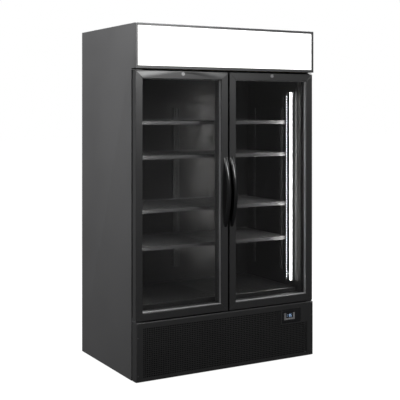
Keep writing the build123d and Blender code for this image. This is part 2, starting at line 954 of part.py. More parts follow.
with BuildPart() as fan_motors:
    for plane in (condenser_fan_plane, *evaporator_fan_planes.values()):
        with Locations(plane):
            with Locations((0, 0, motor_start + motor_height / 2)):
                Cylinder(motor_radius, motor_height)
            with Locations((0, 0, motor_start)):
                Cylinder(shaft_radius + running, shaft_length + 2 * shaft_end, mode=Mode.SUBTRACT)
            leg_top = motor_start + motor_height / 2
            with PolarLocations((leg_radius + motor_radius) / 2, 4, start_angle=45):
                with Locations((0, 0, leg_top)):
                    Box(leg_radius - motor_radius + leg, leg, leg)
            with PolarLocations(leg_radius, 4, start_angle=45):
                with Locations((0, 0, (leg_top - fan_standoff) / 2)):
                    Box(leg, leg, leg_top + fan_standoff)
finish(fan_motors, "fan_motors")

with BuildPart() as compressor:
    z_mount = z_pan_top + mount_height
    z_pot = z_mount + pot_stand
    plate_length, plate_depth, plate_sheet = mount_plate
    with Locations((x_compressor, y_compressor, z_mount + plate_sheet / 2)):
        Box(plate_length, plate_depth, plate_sheet)
    with Locations((x_compressor, y_compressor, z_pan_top + mount_height / 2)):
        with GridLocations(plate_length - 2 * mount_edge, plate_depth - 2 * mount_edge, 2, 2):
            Cylinder(mount_radius, mount_height)
    rod(x_compressor, y_compressor, z_mount + pot_stand / 2, pot_stand_radius, pot_stand)
    with BuildSketch(Plane.XY.offset(z_pot)):
        with Locations((x_compressor, y_compressor)):
            Circle(compressor_radius)
    extrude(amount=compressor_height)
    rims = compressor.edges().filter_by(GeomType.CIRCLE).filter_by(
        lambda edge: abs(edge.radius - compressor_radius) < 0.01
    )
    fillet(rims, radius=pot_round)
    z_seam = z_pot + compressor_height / 2
    rod(x_compressor, y_compressor, z_seam, compressor_radius + seam, seam_height)
    z_discharge, z_suction = [z_pot + compressor_height * share for share in stub_levels]
    rod(x_suction, y_compressor + stub_reach / 2, z_suction, suction_radius, stub_reach, along_y)
    rod(x_discharge, y_compressor - stub_reach / 2, z_discharge, liquid_radius, stub_reach, along_y)
finish(compressor, "compressor")


def pipe(points, bend, radius):
    """Sweep a copper pipe along straight runs joined by equal bends."""
    with BuildLine() as route:
        FilletPolyline(*points, radius=bend)
    path = route.wire()
    with BuildSketch(Plane(origin=path @ 0, z_dir=path % 0)) as section:
        Circle(radius)
    sweep(sections=section.sketch, path=path)


with BuildPart() as refrigerant_lines:
    z_low_header = z_pan_top + low_header
    z_high_header = z_condenser_top - high_header
    z_coil_middle = z_coil_top - coil_height / 2
    z_liquid = z_coil_top - coil_height / 4
    y_header = y_condenser + condenser_depth / 2
    pipe(
        [
            (x_suction, y_compressor + stub_reach, z_suction),
            (x_suction, y_pipe, z_suction),
            (x_suction, y_pipe, z_coil_middle),
            (x_suction, y_coil_back, z_coil_middle),
        ],
        pipe_bend,
        suction_radius,
    )
    pipe(
        [
            (x_coil_end, y_header, z_low_header),
            (x_liquid, y_header, z_low_header),
            (x_liquid, y_pipe, z_low_header),
            (x_liquid, y_pipe, z_liquid),
            (x_liquid, y_coil_back, z_liquid),
        ],
        pipe_bend,
        liquid_radius,
    )
    pipe(
        [
            (x_discharge, y_compressor - stub_reach, z_discharge),
            (x_discharge, y_header, z_discharge),
            (x_discharge, y_header, z_high_header),
            (x_coil_end, y_header, z_high_header),
        ],
        pipe_bend,
        liquid_radius,
    )
finish(refrigerant_lines, "refrigerant_lines")

with BuildPart() as power_gland:
    for radius, inside, outside in gland_steps:
        y_step = y_rear_cover + (outside - inside) / 2
        rod(x_gland, y_step, z_gland, radius, inside + outside, along_y)
    rod(x_gland, y_rear_cover, z_gland, gland_bore, 4 * gland_steps[0][1], along_y, mode=Mode.SUBTRACT)
finish(power_gland, "power_gland")

# ---- Evaporator -------------------------------------------------------------

with BuildPart() as fan_panel:
    slab(
        -x_panel,
        x_panel,
        y_cabinet + header_depth + panel_clear,
        y_duct + duct_sheet,
        z_fan_panel,
        fan_plate_top,
    )
    with BuildSketch(Plane.XY.offset(z_fan_panel)):
        with Locations((-evaporator_fan_x, y_evaporator_fan), (evaporator_fan_x, y_evaporator_fan)):
            Circle(fan_hole_radius)
    extrude(amount=2 * fan_panel_sheet, both=True, mode=Mode.SUBTRACT)
finish(fan_panel, "fan_panel")

with BuildPart() as evaporator_coil:
    slab(
        -coil_width / 2,
        coil_width / 2,
        y_coil_back - coil_depth,
        y_coil_back,
        z_coil_top - coil_height,
        z_coil_top,
    )
    for side in (-1, 1):
        # End plates reach up to the cabin ceiling and carry the coil.
        slab(
            side * coil_width / 2,
            side * (coil_width / 2 + end_plate),
            y_coil_back - coil_depth - end_plate_edge,
            y_coil_back,
            z_coil_top - coil_height - end_plate_edge,
            z_ceiling,
        )
finish(evaporator_coil, "evaporator_coil")

# ---- Door hardware on the cabinet -------------------------------------------

z_hinge_low = base_height + hinge_rise
z_hinge_high = z_door_top + hinge_lift
z_hung = z_canopy - hung_gap

y_cam = y_door_back + cam_clear
z_cam_tip = z_lock + cam_length
y_tab = y_cam - keeper_ahead

with BuildPart() as door_brackets:
    for side in (-1, 1):
        x0 = side * (x_door_outer - hung_gap)
        x1 = side * (x_hinge - hinge_reach)
        for z0, z_flange in ((z_hinge_low, z_hinge_low + hinge_flange), (z_hinge_high, z_hung)):
            slab(x0, x1, y_hinge - hinge_nose, y_cabinet, z0, z0 + hinge_sheet)
            slab(x0, x1, y_cabinet - hinge_flange_sheet, y_cabinet, z0, z_flange)
        rod(side * x_hinge, y_hinge, z_hinge_low + pin_depth / 2, pin_radius, pin_depth)
        rod(
            side * x_hinge,
            y_hinge,
            z_hinge_high + hinge_sheet / 4 - pin_depth / 2,
            pin_radius,
            pin_depth,
        )
        # Keeper: a tab in front of the raised lock cam, hung under the sign box.
        x0 = side * x_lock - keeper_width / 2
        x1 = side * x_lock + keeper_width / 2
        slab(x0, x1, y_tab - keeper_sheet, y_cabinet, z_hung - keeper_sheet, z_hung)
        slab(x0, x1, y_tab - keeper_sheet, y_tab, z_cam_tip - keeper_overlap, z_hung)
finish(door_brackets, "door_brackets")

# ---- Doors ------------------------------------------------------------------


def bounds_x(side, inner, outer):
    """Lowest and highest x of something that spans from inner to outer on one side."""
    return sorted((side * inner, side * outer))


def door_frame(side):
    """Four mitred bars, grooved for the glass, with pin bores and a lock hole."""
    x0, x1 = bounds_x(side, x_door_inner, x_door_outer)
    face = frame_face
    rail = [(x0 + mitre, z_door_bottom), (x1 - mitre, z_door_bottom)]
    rail += [(x1 - face - mitre, z_door_bottom + face), (x0 + face + mitre, z_door_bottom + face)]
    stile = [(x0, z_door_bottom + mitre), (x0, z_door_top - mitre)]
    stile += [(x0 + face, z_door_top - face - mitre), (x0 + face, z_door_bottom + face + mitre)]
    bars = [
        rail,
        [(x, z_door_bottom + z_door_top - z) for x, z in rail],
        stile,
        [(x0 + x1 - x, z) for x, z in stile],
    ]
    with BuildPart() as frame:
        for bar in bars:
            with BuildSketch(Plane.XZ.offset(-y_door)):
                with BuildLine():
                    Polyline(*bar, close=True)
                make_face()
            extrude(amount=-door_thickness)
        slab(
            x0 + face - glass_bite,
            x1 - face + glass_bite,
            y_door + glass_setback,
            y_door + glass_setback + 2 * pane + spacer_depth + 4 * seal,
            z_door_bottom + face - glass_bite,
            z_door_top - face + glass_bite,
            mode=Mode.SUBTRACT,
        )
        for z in (z_door_bottom, z_door_top):
            rod(
                side * x_hinge,
                y_hinge,
                z,
                pin_radius + running,
                2 * pin_depth,
                mode=Mode.SUBTRACT,
            )
        rod(
            side * x_lock,
            y_hinge,
            z_lock,
            lock_barrel_radius + 2 * running,
            2 * door_thickness,
            along_y,
            mode=Mode.SUBTRACT,
        )
    return frame


def door_glass(side):
    """Sealed unit: two panes held apart by a hollow metal spacer."""
    x0, x1 = bounds_x(side, x_door_inner, x_door_outer)
    edge = frame_face - glass_bite + seal
    gx0, gx1 = x0 + edge, x1 - edge
    gz0, gz1 = z_door_bottom + edge, z_door_top - edge
    y_pane = y_door + glass_setback + seal
    y_spacer = y_pane + pane + seal
    bar = glass_bite - seal + spacer_show
    with BuildPart() as unit:
        slab(gx0, gx1, y_pane, y_pane + pane, gz0, gz1)
        y_rear = y_spacer + spacer_depth + seal
        slab(gx0, gx1, y_rear, y_rear + pane - seal, gz0, gz1)
        for low, high in ((gx0, gx0 + bar), (gx1 - bar, gx1)):
            slab(low, high, y_spacer, y_spacer + spacer_depth, gz0, gz1)
        for low, high in ((gz0, gz0 + bar), (gz1 - bar, gz1)):
            slab(
                gx0 + bar + seal,
                gx1 - bar - seal,
                y_spacer,
                y_spacer + spacer_depth,
                low,
                high,
            )
    return unit


def door_gasket(side):
    """Magnetic gasket bars between the door and the cabinet front."""
    x0 = side * (x_door_inner + frame_face - gasket_width - gasket_inner_inset)
    x1 = side * (x_door_outer - gasket_inset - gasket_width)
    low = z_door_bottom + gasket_bottom_inset
    high = z_door_top - gasket_inset - gasket_width
    y1 = y_cabinet - gasket_clear
    with BuildPart() as ring:
        for x in (x0, x1):
            slab(x, x + side * gasket_width, y_door_back, y1, low, high + gasket_width)
        xa = x0 + side * (gasket_width + seal)
        xb = x1 - side * seal
        for z in (low, high):
            slab(xa, xb, y_door_back, y1, z, z + gasket_width)
    return ring


def door_handle(side):
    """Bow handle: a crescent on the stile, with a web that makes the finger gap a pocket."""
    low = handle_middle - handle_length / 2
    high = handle_middle + handle_length / 2
    with BuildPart() as bow:
        with BuildSketch(Plane.YZ.offset(side * x_handle)):
            with BuildLine():
                ThreePointArc((y_door, low), (y_door - handle_reach, handle_middle), (y_door, high))
                Line((y_door, high), (y_door, high - handle_foot))
                ThreePointArc(
                    (y_door, high - handle_foot),
                    (y_door - handle_grip, handle_middle),
                    (y_door, low + handle_foot),
                )
                Line((y_door, low + handle_foot), (y_door, low))
            make_face()
        extrude(amount=handle_width / 2, both=True)
        fillet(bow.edges().filter_by(GeomType.CIRCLE), radius=handle_round)
        with BuildSketch(Plane.YZ.offset(side * x_handle_web)):
            with BuildLine():
                ThreePointArc(
                    (y_door, low + handle_foot / 2),
                    (y_door - (handle_reach + handle_grip) / 2, handle_middle),
                    (y_door, high - handle_foot / 2),
                )
                Line((y_door, high - handle_foot / 2), (y_door, low + handle_foot / 2))
            make_face()
        extrude(amount=handle_web / 2, both=True)
    return bow


def lock_barrel(side):
    """Fixed chrome sleeve with a flange on the door face."""
    x = side * x_lock
    with BuildPart() as barrel:
        rod(x, y_hinge, z_lock, lock_barrel_radius, door_thickness, along_y)
        rod(x, y_door - lock_proud / 2, z_lock, lock_flange_radius, lock_proud, along_y)
        fillet(barrel.edges().filter_by(GeomType.CIRCLE).sort_by(Axis.Y)[0], radius=lock_round)
        rod(
            x,
            y_hinge,
            z_lock,
            lock_plug_radius + running,
            2 * door_thickness,
            along_y,
            mode=Mode.SUBTRACT,
        )
    return barrel


def lock_plug(side):
    """Turning plug with a keyway in front and the cam behind the door."""
    x = side * x_lock
    y0 = y_door - lock_proud - plug_proud
    y1 = y_cam
    across, deep, high = keyway
    with BuildPart() as plug:
        rod(x, (y0 + y1) / 2, z_lock, lock_plug_radius, y1 - y0, along_y)
        with Locations((x, y0, z_lock)):
            Box(across, 2 * deep, high, mode=Mode.SUBTRACT)
        slab(
            x + side * cam_width / 2,
            x - side * cam_length,
            y_cam,
            y_cam + cam_sheet,
            z_lock - cam_width / 2,
            z_lock + cam_width / 2,
        )
    return plug


for side, word in ((-1, "left"), (1, "right")):
    finish(door_frame(side), f"door_frame_{word}")
    finish(door_glass(side), f"door_glass_{word}")
    finish(door_gasket(side), f"door_gasket_{word}")
    finish(door_handle(side), f"door_handle_{word}")
    finish(lock_barrel(side), f"lock_barrel_{word}")
    finish(lock_plug(side), f"lock_plug_{word}")

# ---- Feet -------------------------------------------------------------------

for place, (x, y) in foot_spots.items():
    with BuildPart() as foot:
        rod(x, y, foot_height / 2, foot_radius, foot_height)
        fillet(foot.edges().group_by(Axis.Z)[-1], radius=foot_round)
        rod(x, y, foot_height + stud_height / 2, stud_radius, stud_height)
    finish(foot, f"foot_{place}")
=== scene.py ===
import math

import bmesh
import bpy
from mathutils import Matrix, Vector


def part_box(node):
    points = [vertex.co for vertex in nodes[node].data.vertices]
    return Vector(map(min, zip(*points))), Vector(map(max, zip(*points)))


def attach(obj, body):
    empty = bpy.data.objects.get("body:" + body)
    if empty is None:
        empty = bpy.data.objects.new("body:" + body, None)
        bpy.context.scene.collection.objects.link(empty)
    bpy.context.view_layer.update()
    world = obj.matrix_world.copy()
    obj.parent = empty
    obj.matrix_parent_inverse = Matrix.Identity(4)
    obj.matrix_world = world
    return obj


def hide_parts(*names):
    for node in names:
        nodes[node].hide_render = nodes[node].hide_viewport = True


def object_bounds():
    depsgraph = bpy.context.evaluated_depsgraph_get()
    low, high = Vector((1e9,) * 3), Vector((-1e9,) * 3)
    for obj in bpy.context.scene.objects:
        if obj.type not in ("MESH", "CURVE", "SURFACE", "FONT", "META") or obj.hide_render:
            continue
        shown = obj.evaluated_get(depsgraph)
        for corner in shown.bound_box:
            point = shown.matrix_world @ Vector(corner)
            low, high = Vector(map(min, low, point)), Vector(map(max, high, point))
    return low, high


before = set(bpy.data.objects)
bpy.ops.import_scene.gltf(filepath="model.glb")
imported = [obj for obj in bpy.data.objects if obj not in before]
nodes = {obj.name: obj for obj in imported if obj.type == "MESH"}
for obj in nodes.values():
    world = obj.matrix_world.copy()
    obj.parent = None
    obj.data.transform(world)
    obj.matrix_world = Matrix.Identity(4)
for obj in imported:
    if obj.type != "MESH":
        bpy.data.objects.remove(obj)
cad_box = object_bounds()

# ---- Helpers -----------------------------------------------------------------
# Node trees for finishes and repeated shapes, and the ways to make, coat and mount a piece.


class Varying:
    """What leaves a node's socket. Arithmetic on it adds Math nodes to the same tree."""

    def __init__(self, wiring, socket):
        self.wiring = wiring
        self.socket = socket

    def maths(self, operation, *values):
        settings = {"operation": operation}
        return self.wiring.node("ShaderNodeMath", settings, dict(enumerate(values)))["Value"]

    def __add__(self, other):
        return self.maths("ADD", self, other)

    def __sub__(self, other):
        return self.maths("SUBTRACT", self, other)

    def __rsub__(self, other):
        return self.maths("SUBTRACT", other, self)

    def __mul__(self, other):
        return self.maths("MULTIPLY", self, other)

    def __truediv__(self, other):
        return self.maths("DIVIDE", self, other)

    def __gt__(self, other):
        return self.maths("GREATER_THAN", self, other)

    __radd__ = __add__
    __rmul__ = __mul__


class Wiring:
    """A node tree in the making. node() adds a node: its settings first, then its sockets."""

    def __init__(self, tree):
        self.tree = tree

    def feed(self, socket, value):
        for one in value if isinstance(value, list) else [value]:
            if isinstance(one, Varying):
                self.tree.links.new(one.socket, socket)
            else:
                socket.default_value = one

    def node(self, kind, settings=None, values=None):
        made = self.tree.nodes.new(kind)
        for key, value in (settings or {}).items():
            setattr(made, key, value)
        for key, value in (values or {}).items():
            shown = [socket for socket in made.inputs if socket.enabled]
            named = [socket for socket in shown if socket.name == key]
            self.feed(shown[key] if isinstance(key, int) else named[0], value)
        return {s.name: Varying(self, s) for s in made.outputs if s.enabled}


class Finish(Wiring):
    """A surface finish: constants go on the shader's own sockets, and vary() links the rest."""

    def __init__(self, name, constants):
        self.material = bpy.data.materials.new(name)
        self.material.use_nodes = True
        super().__init__(self.material.node_tree)
        self.shader = self.tree.nodes["Principled BSDF"]
        for key, value in constants.items():
            self.shader.inputs[key].default_value = value
        self.place = self.node("ShaderNodeTexCoord")["Object"]

    def axes(self):
        split = self.node("ShaderNodeSeparateXYZ", {}, {"Vector": self.place})
        return split["X"], split["Y"], split["Z"]

    def stretched(self, x, y, z):
        values = {"Vector": self.place, "Scale": (x, y, z)}
        return self.node("ShaderNodeMapping", {}, values)["Vector"]

    def grain(self, size, detail=2.0, place=None):
        values = {"Vector": place or self.place, "Scale": 1 / size, "Detail": detail}
        return self.node("ShaderNodeTexNoise", {}, values)["Fac"]

    def blend(self, share, low, high):
        values = {"Factor": share, "A": (*low, 1), "B": (*high, 1)}
        return self.node("ShaderNodeMix", {"data_type": "RGBA"}, values)["Result"]

    def vary(self, socket, value):
        self.feed(self.shader.inputs[socket], value)

    def relief(self, height, depth):
        values = {"Strength": 1.0, "Distance": depth, "Height": height}
        self.vary("Normal", self.node("ShaderNodeBump", {}, values)["Normal"])


def shade(tone, factor):
    """A colour made lighter or darker."""
    return tuple(min(1.0, part * factor) for part in tone)


def powder_coat(name, tone, roughness, grain=0.0012, relief=0.00005):
    """Baked powder paint: fine orange peel, slightly uneven in tone and in gloss."""
    coat = Finish(name, {"Specular IOR Level": 0.5})
    peel = coat.grain(grain)
    cloud = coat.grain(0.35, 4.0)
    share = peel * 0.45 + cloud * 0.55
    coat.vary("Base Color", coat.blend(share, shade(tone, 0.78), shade(tone, 1.22)))
    coat.vary("Roughness", peel * 0.10 + cloud * 0.08 + (roughness - 0.09))
    coat.relief(peel, relief)
    return coat.material


def piece_from(shape, name, crease=20.0):
    """The piece that a bmesh becomes, smooth across edges that turn less than the crease."""
    mesh = bpy.data.meshes.new(name)
    shape.to_mesh(mesh)
    shape.free()
    mesh.shade_smooth()
    mesh.set_sharp_from_angle(angle=math.radians(crease))
    piece = bpy.data.objects.new(name, mesh)
    bpy.context.scene.collection.objects.link(piece)
    return piece


def closed_from(shape, name, crease=20.0):
    """The piece that a bmesh of closed shapes becomes, with its faces turned outward."""
    bmesh.ops.recalc_face_normals(shape, faces=shape.faces)
    return piece_from(shape, name, crease)


def soften(shape, edges, width, segments=2):
    """Round some edges of a bmesh."""
    bmesh.ops.bevel(
        shape, geom=edges, offset=width, segments=segments, profile=0.5, affect="EDGES"
    )


def eased(node, name, width):
    """A copy of a CAD node whose triangles are joined and whose sharp edges are rounded."""
    shape = bmesh.new()
    shape.from_mesh(nodes[node].data)
    bmesh.ops.remove_doubles(shape, verts=shape.verts, dist=1e-6)
    flat = math.radians(0.5)
    bmesh.ops.dissolve_limit(shape, angle_limit=flat, verts=shape.verts, edges=shape.edges)
    sharp = math.radians(35)
    edges = [e for e in shape.edges if e.is_manifold and e.calc_face_angle() > sharp]
    if width and edges:
        soften(shape, edges, width)
    return piece_from(shape, name)


def fit(piece, material, body, slot, *stood_for):
    """Coat a new piece and mount it on its body in place of the CAD nodes it stands for."""
    piece.data.materials.clear()
    piece.data.materials.append(material)
    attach(piece, body)
    if stood_for:
        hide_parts(*stood_for)


def stand_in(node, name, width, material, slot, body="cabinet"):
    """Coat an eased copy of a CAD node and mount it in the node's place."""
    fit(eased(node, name, width), material, body, slot, node)


# ---- Side panels -------------------------------------------------------------
# Two flag-shaped sheets of folded steel on the outside of the body, powder coated in a fine
# black texture. They hook over the foam-filled body, and reach from the base to the top panel.

outer_black = powder_coat("black powder coat", (0.050, 0.050, 0.051), 0.46)
for word in ("left", "right"):
    stand_in(
        f"side_panel_{word}", f"outer_panel_{word}", 0.0004, outer_black, "black_coat"
    )

# ---- Top, back and rear cover ------------------------------------------------
# Bare galvanised steel sheets close the top and the back. The cover of the machine compartment
# is set in below the back sheet, with rows of stamped vent slots.


def paint(node, material):
    """Coat a CAD node that keeps its own shape."""
    mesh = nodes[node].data
    mesh.materials.clear()
    mesh.materials.append(material)


def galvanised(name, tone):
    """Hot-dip zinc: flat crystals of slightly different greys under a dull film."""
    zinc = Finish(name, {"Specular IOR Level": 0.5})
    crystals = {"Vector": zinc.place, "Scale": 55.0, "Randomness": 1.0}
    spangle = zinc.node("ShaderNodeTexVoronoi", {"feature": "F1"}, crystals)
    film = zinc.grain(0.09, 4.0)
    share = spangle["Distance"] * 0.9 + film * 0.5
    zinc.vary("Base Color", zinc.blend(share, shade(tone, 0.72), shade(tone, 1.15)))
    zinc.vary("Metallic", film * 0.2 + 0.75)
    zinc.vary("Roughness", spangle["Distance"] * 0.25 + film * 0.15 + 0.3)
    zinc.relief(spangle["Distance"], 0.0001)
    return zinc.material


back_steel = galvanised("galvanised back", (0.46, 0.47, 0.49))
stand_in("top_and_back_panels", "top_and_back_sheets", 0.0003, back_steel, "galvanised")

# ---- Base frame and machine compartment --------------------------------------
# A zinc-plated pan and deck on four posts carry the refrigeration: the compressor on rubber
# mounts, the finned condenser with its shroud and fan, and brazed copper pipes that run in
# black foam sleeves above the deck.

paint("base_frame", galvanised("galvanised base", (0.42, 0.43, 0.45)))
shroud_steel = galvanised("galvanised shroud", (0.44, 0.45, 0.46))
stand_in("condenser_shroud", "condenser_shroud_plate", 0.0004, shroud_steel, "galvanised")


def moulded(name, tone, roughness, grain=0.0006, relief=0.00003):
    """Moulded plastic: a faint spark-eroded texture and slow changes of gloss."""
    plastic = Finish(name, {"Specular IOR Level": 0.45})
    spark = plastic.grain(grain)
    flow = plastic.grain(0.05, 3.0)
    plastic.vary("Base Color", plastic.blend(flow, shade(tone, 0.85), shade(tone, 1.15)))
    plastic.vary("Roughness", spark * 0.08 + flow * 0.1 + (roughness - 0.09))
    plastic.relief(spark, relief)
    return plastic.material


def gloss_enamel(name, tone, roughness):
    """Sprayed enamel over steel: glossy, with settled dust on what faces up."""
    enamel = Finish(name, {"Coat Roughness": 0.08, "Coat Weight": 0.6})
    up = enamel.node("ShaderNodeNewGeometry")["Normal"]
    level = enamel.node("ShaderNodeSeparateXYZ", {}, {"Vector": up})["Z"]
    dust = (level > 0.5) * enamel.grain(0.012, 5.0)
    enamel.vary("Base Color", enamel.blend(dust, tone, (0.10, 0.095, 0.09)))
    enamel.vary("Roughness", dust * 0.4 + roughness)
    return enamel.material


pot_enamel = gloss_enamel("compressor enamel", (0.018, 0.018, 0.02), 0.28)
stand_in("compressor", "compressor_pot", 0.0006, pot_enamel, "compressor_black")
motor_enamel = gloss_enamel("motor enamel", (0.04, 0.04, 0.045), 0.42)
stand_in("fan_motors", "fan_motor_cans", 0.0006, motor_enamel, "motor_black")

fan_black = moulded("fan plastic", (0.045, 0.045, 0.047), 0.42)
for fan in ("condenser_fan", "evaporator_fan_left", "evaporator_fan_right"):
    stand_in(fan, f"{fan}_rotor", 0.0005, fan_black, "fan_plastic", fan)

bright_copper = (0.80, 0.36, 0.20)
dull_copper = (0.34, 0.17, 0.11)
copper = Finish("copper pipe", {"Metallic": 1.0})
tarnish = copper.grain(0.03, 5.0)
copper.vary("Base Color", copper.blend(tarnish, bright_copper, dull_copper))
copper.vary("Roughness", tarnish * 0.3 + 0.2)

deck_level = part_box("base_frame")[1].z
sleeved = Finish("sleeved copper pipe", {})
sleeve = sleeved.axes()[2] > deck_level
tarnish = sleeved.grain(0.03, 5.0)
copper_tone = sleeved.blend(tarnish, bright_copper, dull_copper)
sleeve_tone = sleeved.blend(tarnish, (0.012, 0.012, 0.012), (0.022, 0.022, 0.022))
tones = {"Factor": sleeve, "A": copper_tone, "B": sleeve_tone}
sleeved.vary("Base Color", sleeved.node("ShaderNodeMix", {"data_type": "RGBA"}, tones)["Result"])
sleeved.vary("Metallic", 1 - sleeve)
sleeved.vary("Roughness", tarnish * 0.3 + sleeve * 0.5 + 0.2)
stand_in("refrigerant_lines", "copper_pipes", 0.0, sleeved.material, "copper")

gland_black = moulded("gland plastic", (0.03, 0.03, 0.031), 0.5)
stand_in("power_gland", "power_gland_body", 0.0004, gland_black, "black_plastic")

# ---- Condenser and evaporator fins -------------------------------------------
# Both coils are packs of pressed aluminium fins on copper hairpins. The fins are instanced
# along the coil, and the hairpin bends stand out of the end plates.


class Recipe(Wiring):
    """A Geometry Nodes tree with named sizes. make() runs it and gives a plain mesh piece."""

    def __init__(self, name, counts, lengths):
        super().__init__(bpy.data.node_groups.new(name, "GeometryNodeTree"))
        kinds = {**dict.fromkeys(counts, "Int"), **dict.fromkeys(lengths, "Float")}
        self.tree.interface.new_socket(
            "Geometry", in_out="OUTPUT", socket_type="NodeSocketGeometry"
        )
        for size, kind in {**kinds, "Material": "Material"}.items():
            self.tree.interface.new_socket(size, in_out="INPUT", socket_type=f"NodeSocket{kind}")
        self.sizes = self.node("NodeGroupInput")

    def turn_out(self, geometry):
        real = self.node("GeometryNodeRealizeInstances", {}, {"Geometry": geometry})["Geometry"]
        values = {"Geometry": real, "Material": self.sizes["Material"]}
        coated = self.node("GeometryNodeSetMaterial", {}, values)["Geometry"]
        self.node("NodeGroupOutput", {}, {"Geometry": coated})

    def vector(self, **parts):
        return self.node("ShaderNodeCombineXYZ", {}, parts)["Vector"]

    def grid(self, width, height, columns, rows):
        values = {"Size X": width, "Size Y": height, "Vertices X": columns, "Vertices Y": rows}
        return self.node("GeometryNodeMeshGrid", {}, values)["Mesh"]

    def line(self, count, start, step):
        values = {"Count": count, "Start Location": start, "Offset": step}
        return self.node("GeometryNodeMeshLine", {"mode": "OFFSET"}, values)["Mesh"]

    def cone(self, corners, base, top, height):
        values = {"Vertices": corners, "Radius Top": top, "Radius Bottom": base, "Depth": height}
        return self.node("GeometryNodeMeshCone", {}, values)["Mesh"]

    def moved(self, geometry, **place):
        values = {"Geometry": geometry, **place}
        return self.node("GeometryNodeTransform", {}, values)["Geometry"]

    def without(self, geometry, faces):
        values = {"Geometry": geometry, "Selection": faces}
        return self.node("GeometryNodeDeleteGeometry", {"domain": "FACE"}, values)["Geometry"]

    def copies(self, points, instance):
        values = {"Points": points, "Instance": instance}
        return self.node("GeometryNodeInstanceOnPoints", {}, values)["Instances"]

    def make(self, name, **sizes):
        piece = bpy.data.objects.new(name, bpy.data.meshes.new(name))
        bpy.context.scene.collection.objects.link(piece)
        modifier = piece.modifiers.new(name, "NODES")
        modifier.node_group = self.tree
        for item in self.tree.interface.items_tree:
            if item.in_out == "INPUT":
                modifier[item.identifier] = sizes[item.name]
        seen = piece.evaluated_get(bpy.context.evaluated_depsgraph_get())
        mesh = bpy.data.meshes.new_from_object(seen)
        piece.modifiers.clear()
        piece.data = mesh
        return piece


fin_pack = Recipe("fin pack", ["Fins"], ["Pitch", "Thickness", "Depth", "Height"])
size = fin_pack.sizes
first = size["Pitch"] * (size["Fins"] - 1) * -0.5
line = fin_pack.line(size["Fins"], fin_pack.vector(X=first), fin_pack.vector(X=size["Pitch"]))
fin = fin_pack.node(
    "GeometryNodeMeshCube",
    {},
    {"Size": fin_pack.vector(X=size["Thickness"], Y=size["Depth"], Z=size["Height"])},
)["Mesh"]
fin_pack.turn_out(fin_pack.copies(line, fin))

hairpins = Recipe("hairpin bends", ["Columns", "Rows"], ["Column_pitch", "Row_pitch", "Tube"])
size = hairpins.sizes
grid = hairpins.grid(
    size["Column_pitch"] * (size["Columns"] - 1),
    size["Row_pitch"] * (size["Rows"] - 1),
    size["Columns"],
    size["Rows"],
)
upright = hairpins.moved(grid, Rotation=(math.pi / 2, 0, 0))
bend = hairpins.node(
    "GeometryNodeCurveArc",
    {"mode": "RADIUS"},
    {"Resolution": 9, "Radius": size["Column_pitch"] * 0.25, "Sweep Angle": math.pi},
)["Curve"]
section = hairpins.node(
    "GeometryNodeCurvePrimitiveCircle",
    {"mode": "RADIUS"},
    {"Resolution": 8, "Radius": size["Tube"]},
)["Curve"]
tube = hairpins.node("GeometryNodeCurveToMesh", {}, {"Curve": bend, "Profile Curve": section})
hairpins.turn_out(hairpins.copies(upright, tube["Mesh"]))

fin_metal = Finish("fin aluminium", {"Metallic": 1.0})
soot = fin_metal.grain(0.02, 4.0)
fin_metal.vary("Base Color", fin_metal.blend(soot, (0.72, 0.73, 0.74), (0.40, 0.40, 0.41)))
fin_metal.vary("Roughness", soot * 0.2 + 0.3)
fin_pitch = 0.0025
fin_sheet = 0.0003
tube_radius = 0.0045
bend_room = 0.012
flange = 0.014


def slab(shape, low, high):
    """Add a box between two corners to a bmesh."""
    spread = Vector(high) - Vector(low)
    middle = (Vector(high) + Vector(low)) / 2
    place = Matrix.Translation(middle) @ Matrix.Diagonal((*spread, 1))
    bmesh.ops.create_cube(shape, size=1.0, matrix=place)


def coil(node, row_pitch, plate):
    """Fins, folded end plates and hairpin bends in the space of one coil."""
    low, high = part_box(node)
    middle = (low + high) / 2
    ends = 2 * (plate + bend_room)
    spread = high - low
    height = spread.z - 2 * plate
    fins = fin_pack.make(
        f"{node}_fins",
        Fins=int((spread.x - ends) / fin_pitch),
        Pitch=fin_pitch,
        Thickness=fin_sheet,
        Depth=spread.y - 2 * plate,
        Height=height,
        Material=fin_metal.material,
    )
    fins.data.transform(Matrix.Translation(middle))
    fit(fins, fin_metal.material, "cabinet", "fins", node)
    rows = max(1, int(spread.y / row_pitch))
    for side in (-1, 1):
        bends = hairpins.make(
            f"{node}_bends_{'right' if side > 0 else 'left'}",
            Columns=int(height / (2 * row_pitch)),
            Rows=rows,
            Column_pitch=2 * row_pitch,
            Row_pitch=row_pitch,
            Tube=tube_radius,
            Material=copper.material,
        )
        x_plate = middle.x + side * (spread.x / 2 - bend_room - row_pitch / 2)
        outward = Matrix(((0, side, 0), (0, 0, 1), (1, 0, 0))).to_4x4()
        bends.data.transform(Matrix.Translation((x_plate, middle.y, middle.z)) @ outward)
        shape = bmesh.new()
        shape.from_mesh(bends.data)
        bmesh.ops.recalc_face_normals(shape, faces=shape.faces)
        shape.to_mesh(bends.data)
        shape.free()
        bends.data.shade_smooth()
        fit(bends, copper.material, "cabinet", "copper")
    plates = bmesh.new()
    for side in (-1, 1):
        x_plate = middle.x + side * (spread.x / 2 - bend_room)
        x_pair = sorted((x_plate, x_plate - side * plate))
        slab(plates, (x_pair[0], low.y, low.z), (x_pair[1], high.y, high.z))
    for z in (low.z, high.z - plate):
        slab(plates, (low.x + flange, low.y, z), (high.x - flange, high.y, z + plate))
    fit(piece_from(plates, f"{node}_plates"), back_steel, "cabinet", "galvanised")


coil("condenser_coil", 0.025, 0.0015)
coil("evaporator_coil", 0.025, 0.002)

# ---- Insulated body and liner ------------------------------------------------
# Polyurethane foam fills the walls between the sheets. The liner is thin steel coated black,
# and plastic breaker bars frame the opening in front.

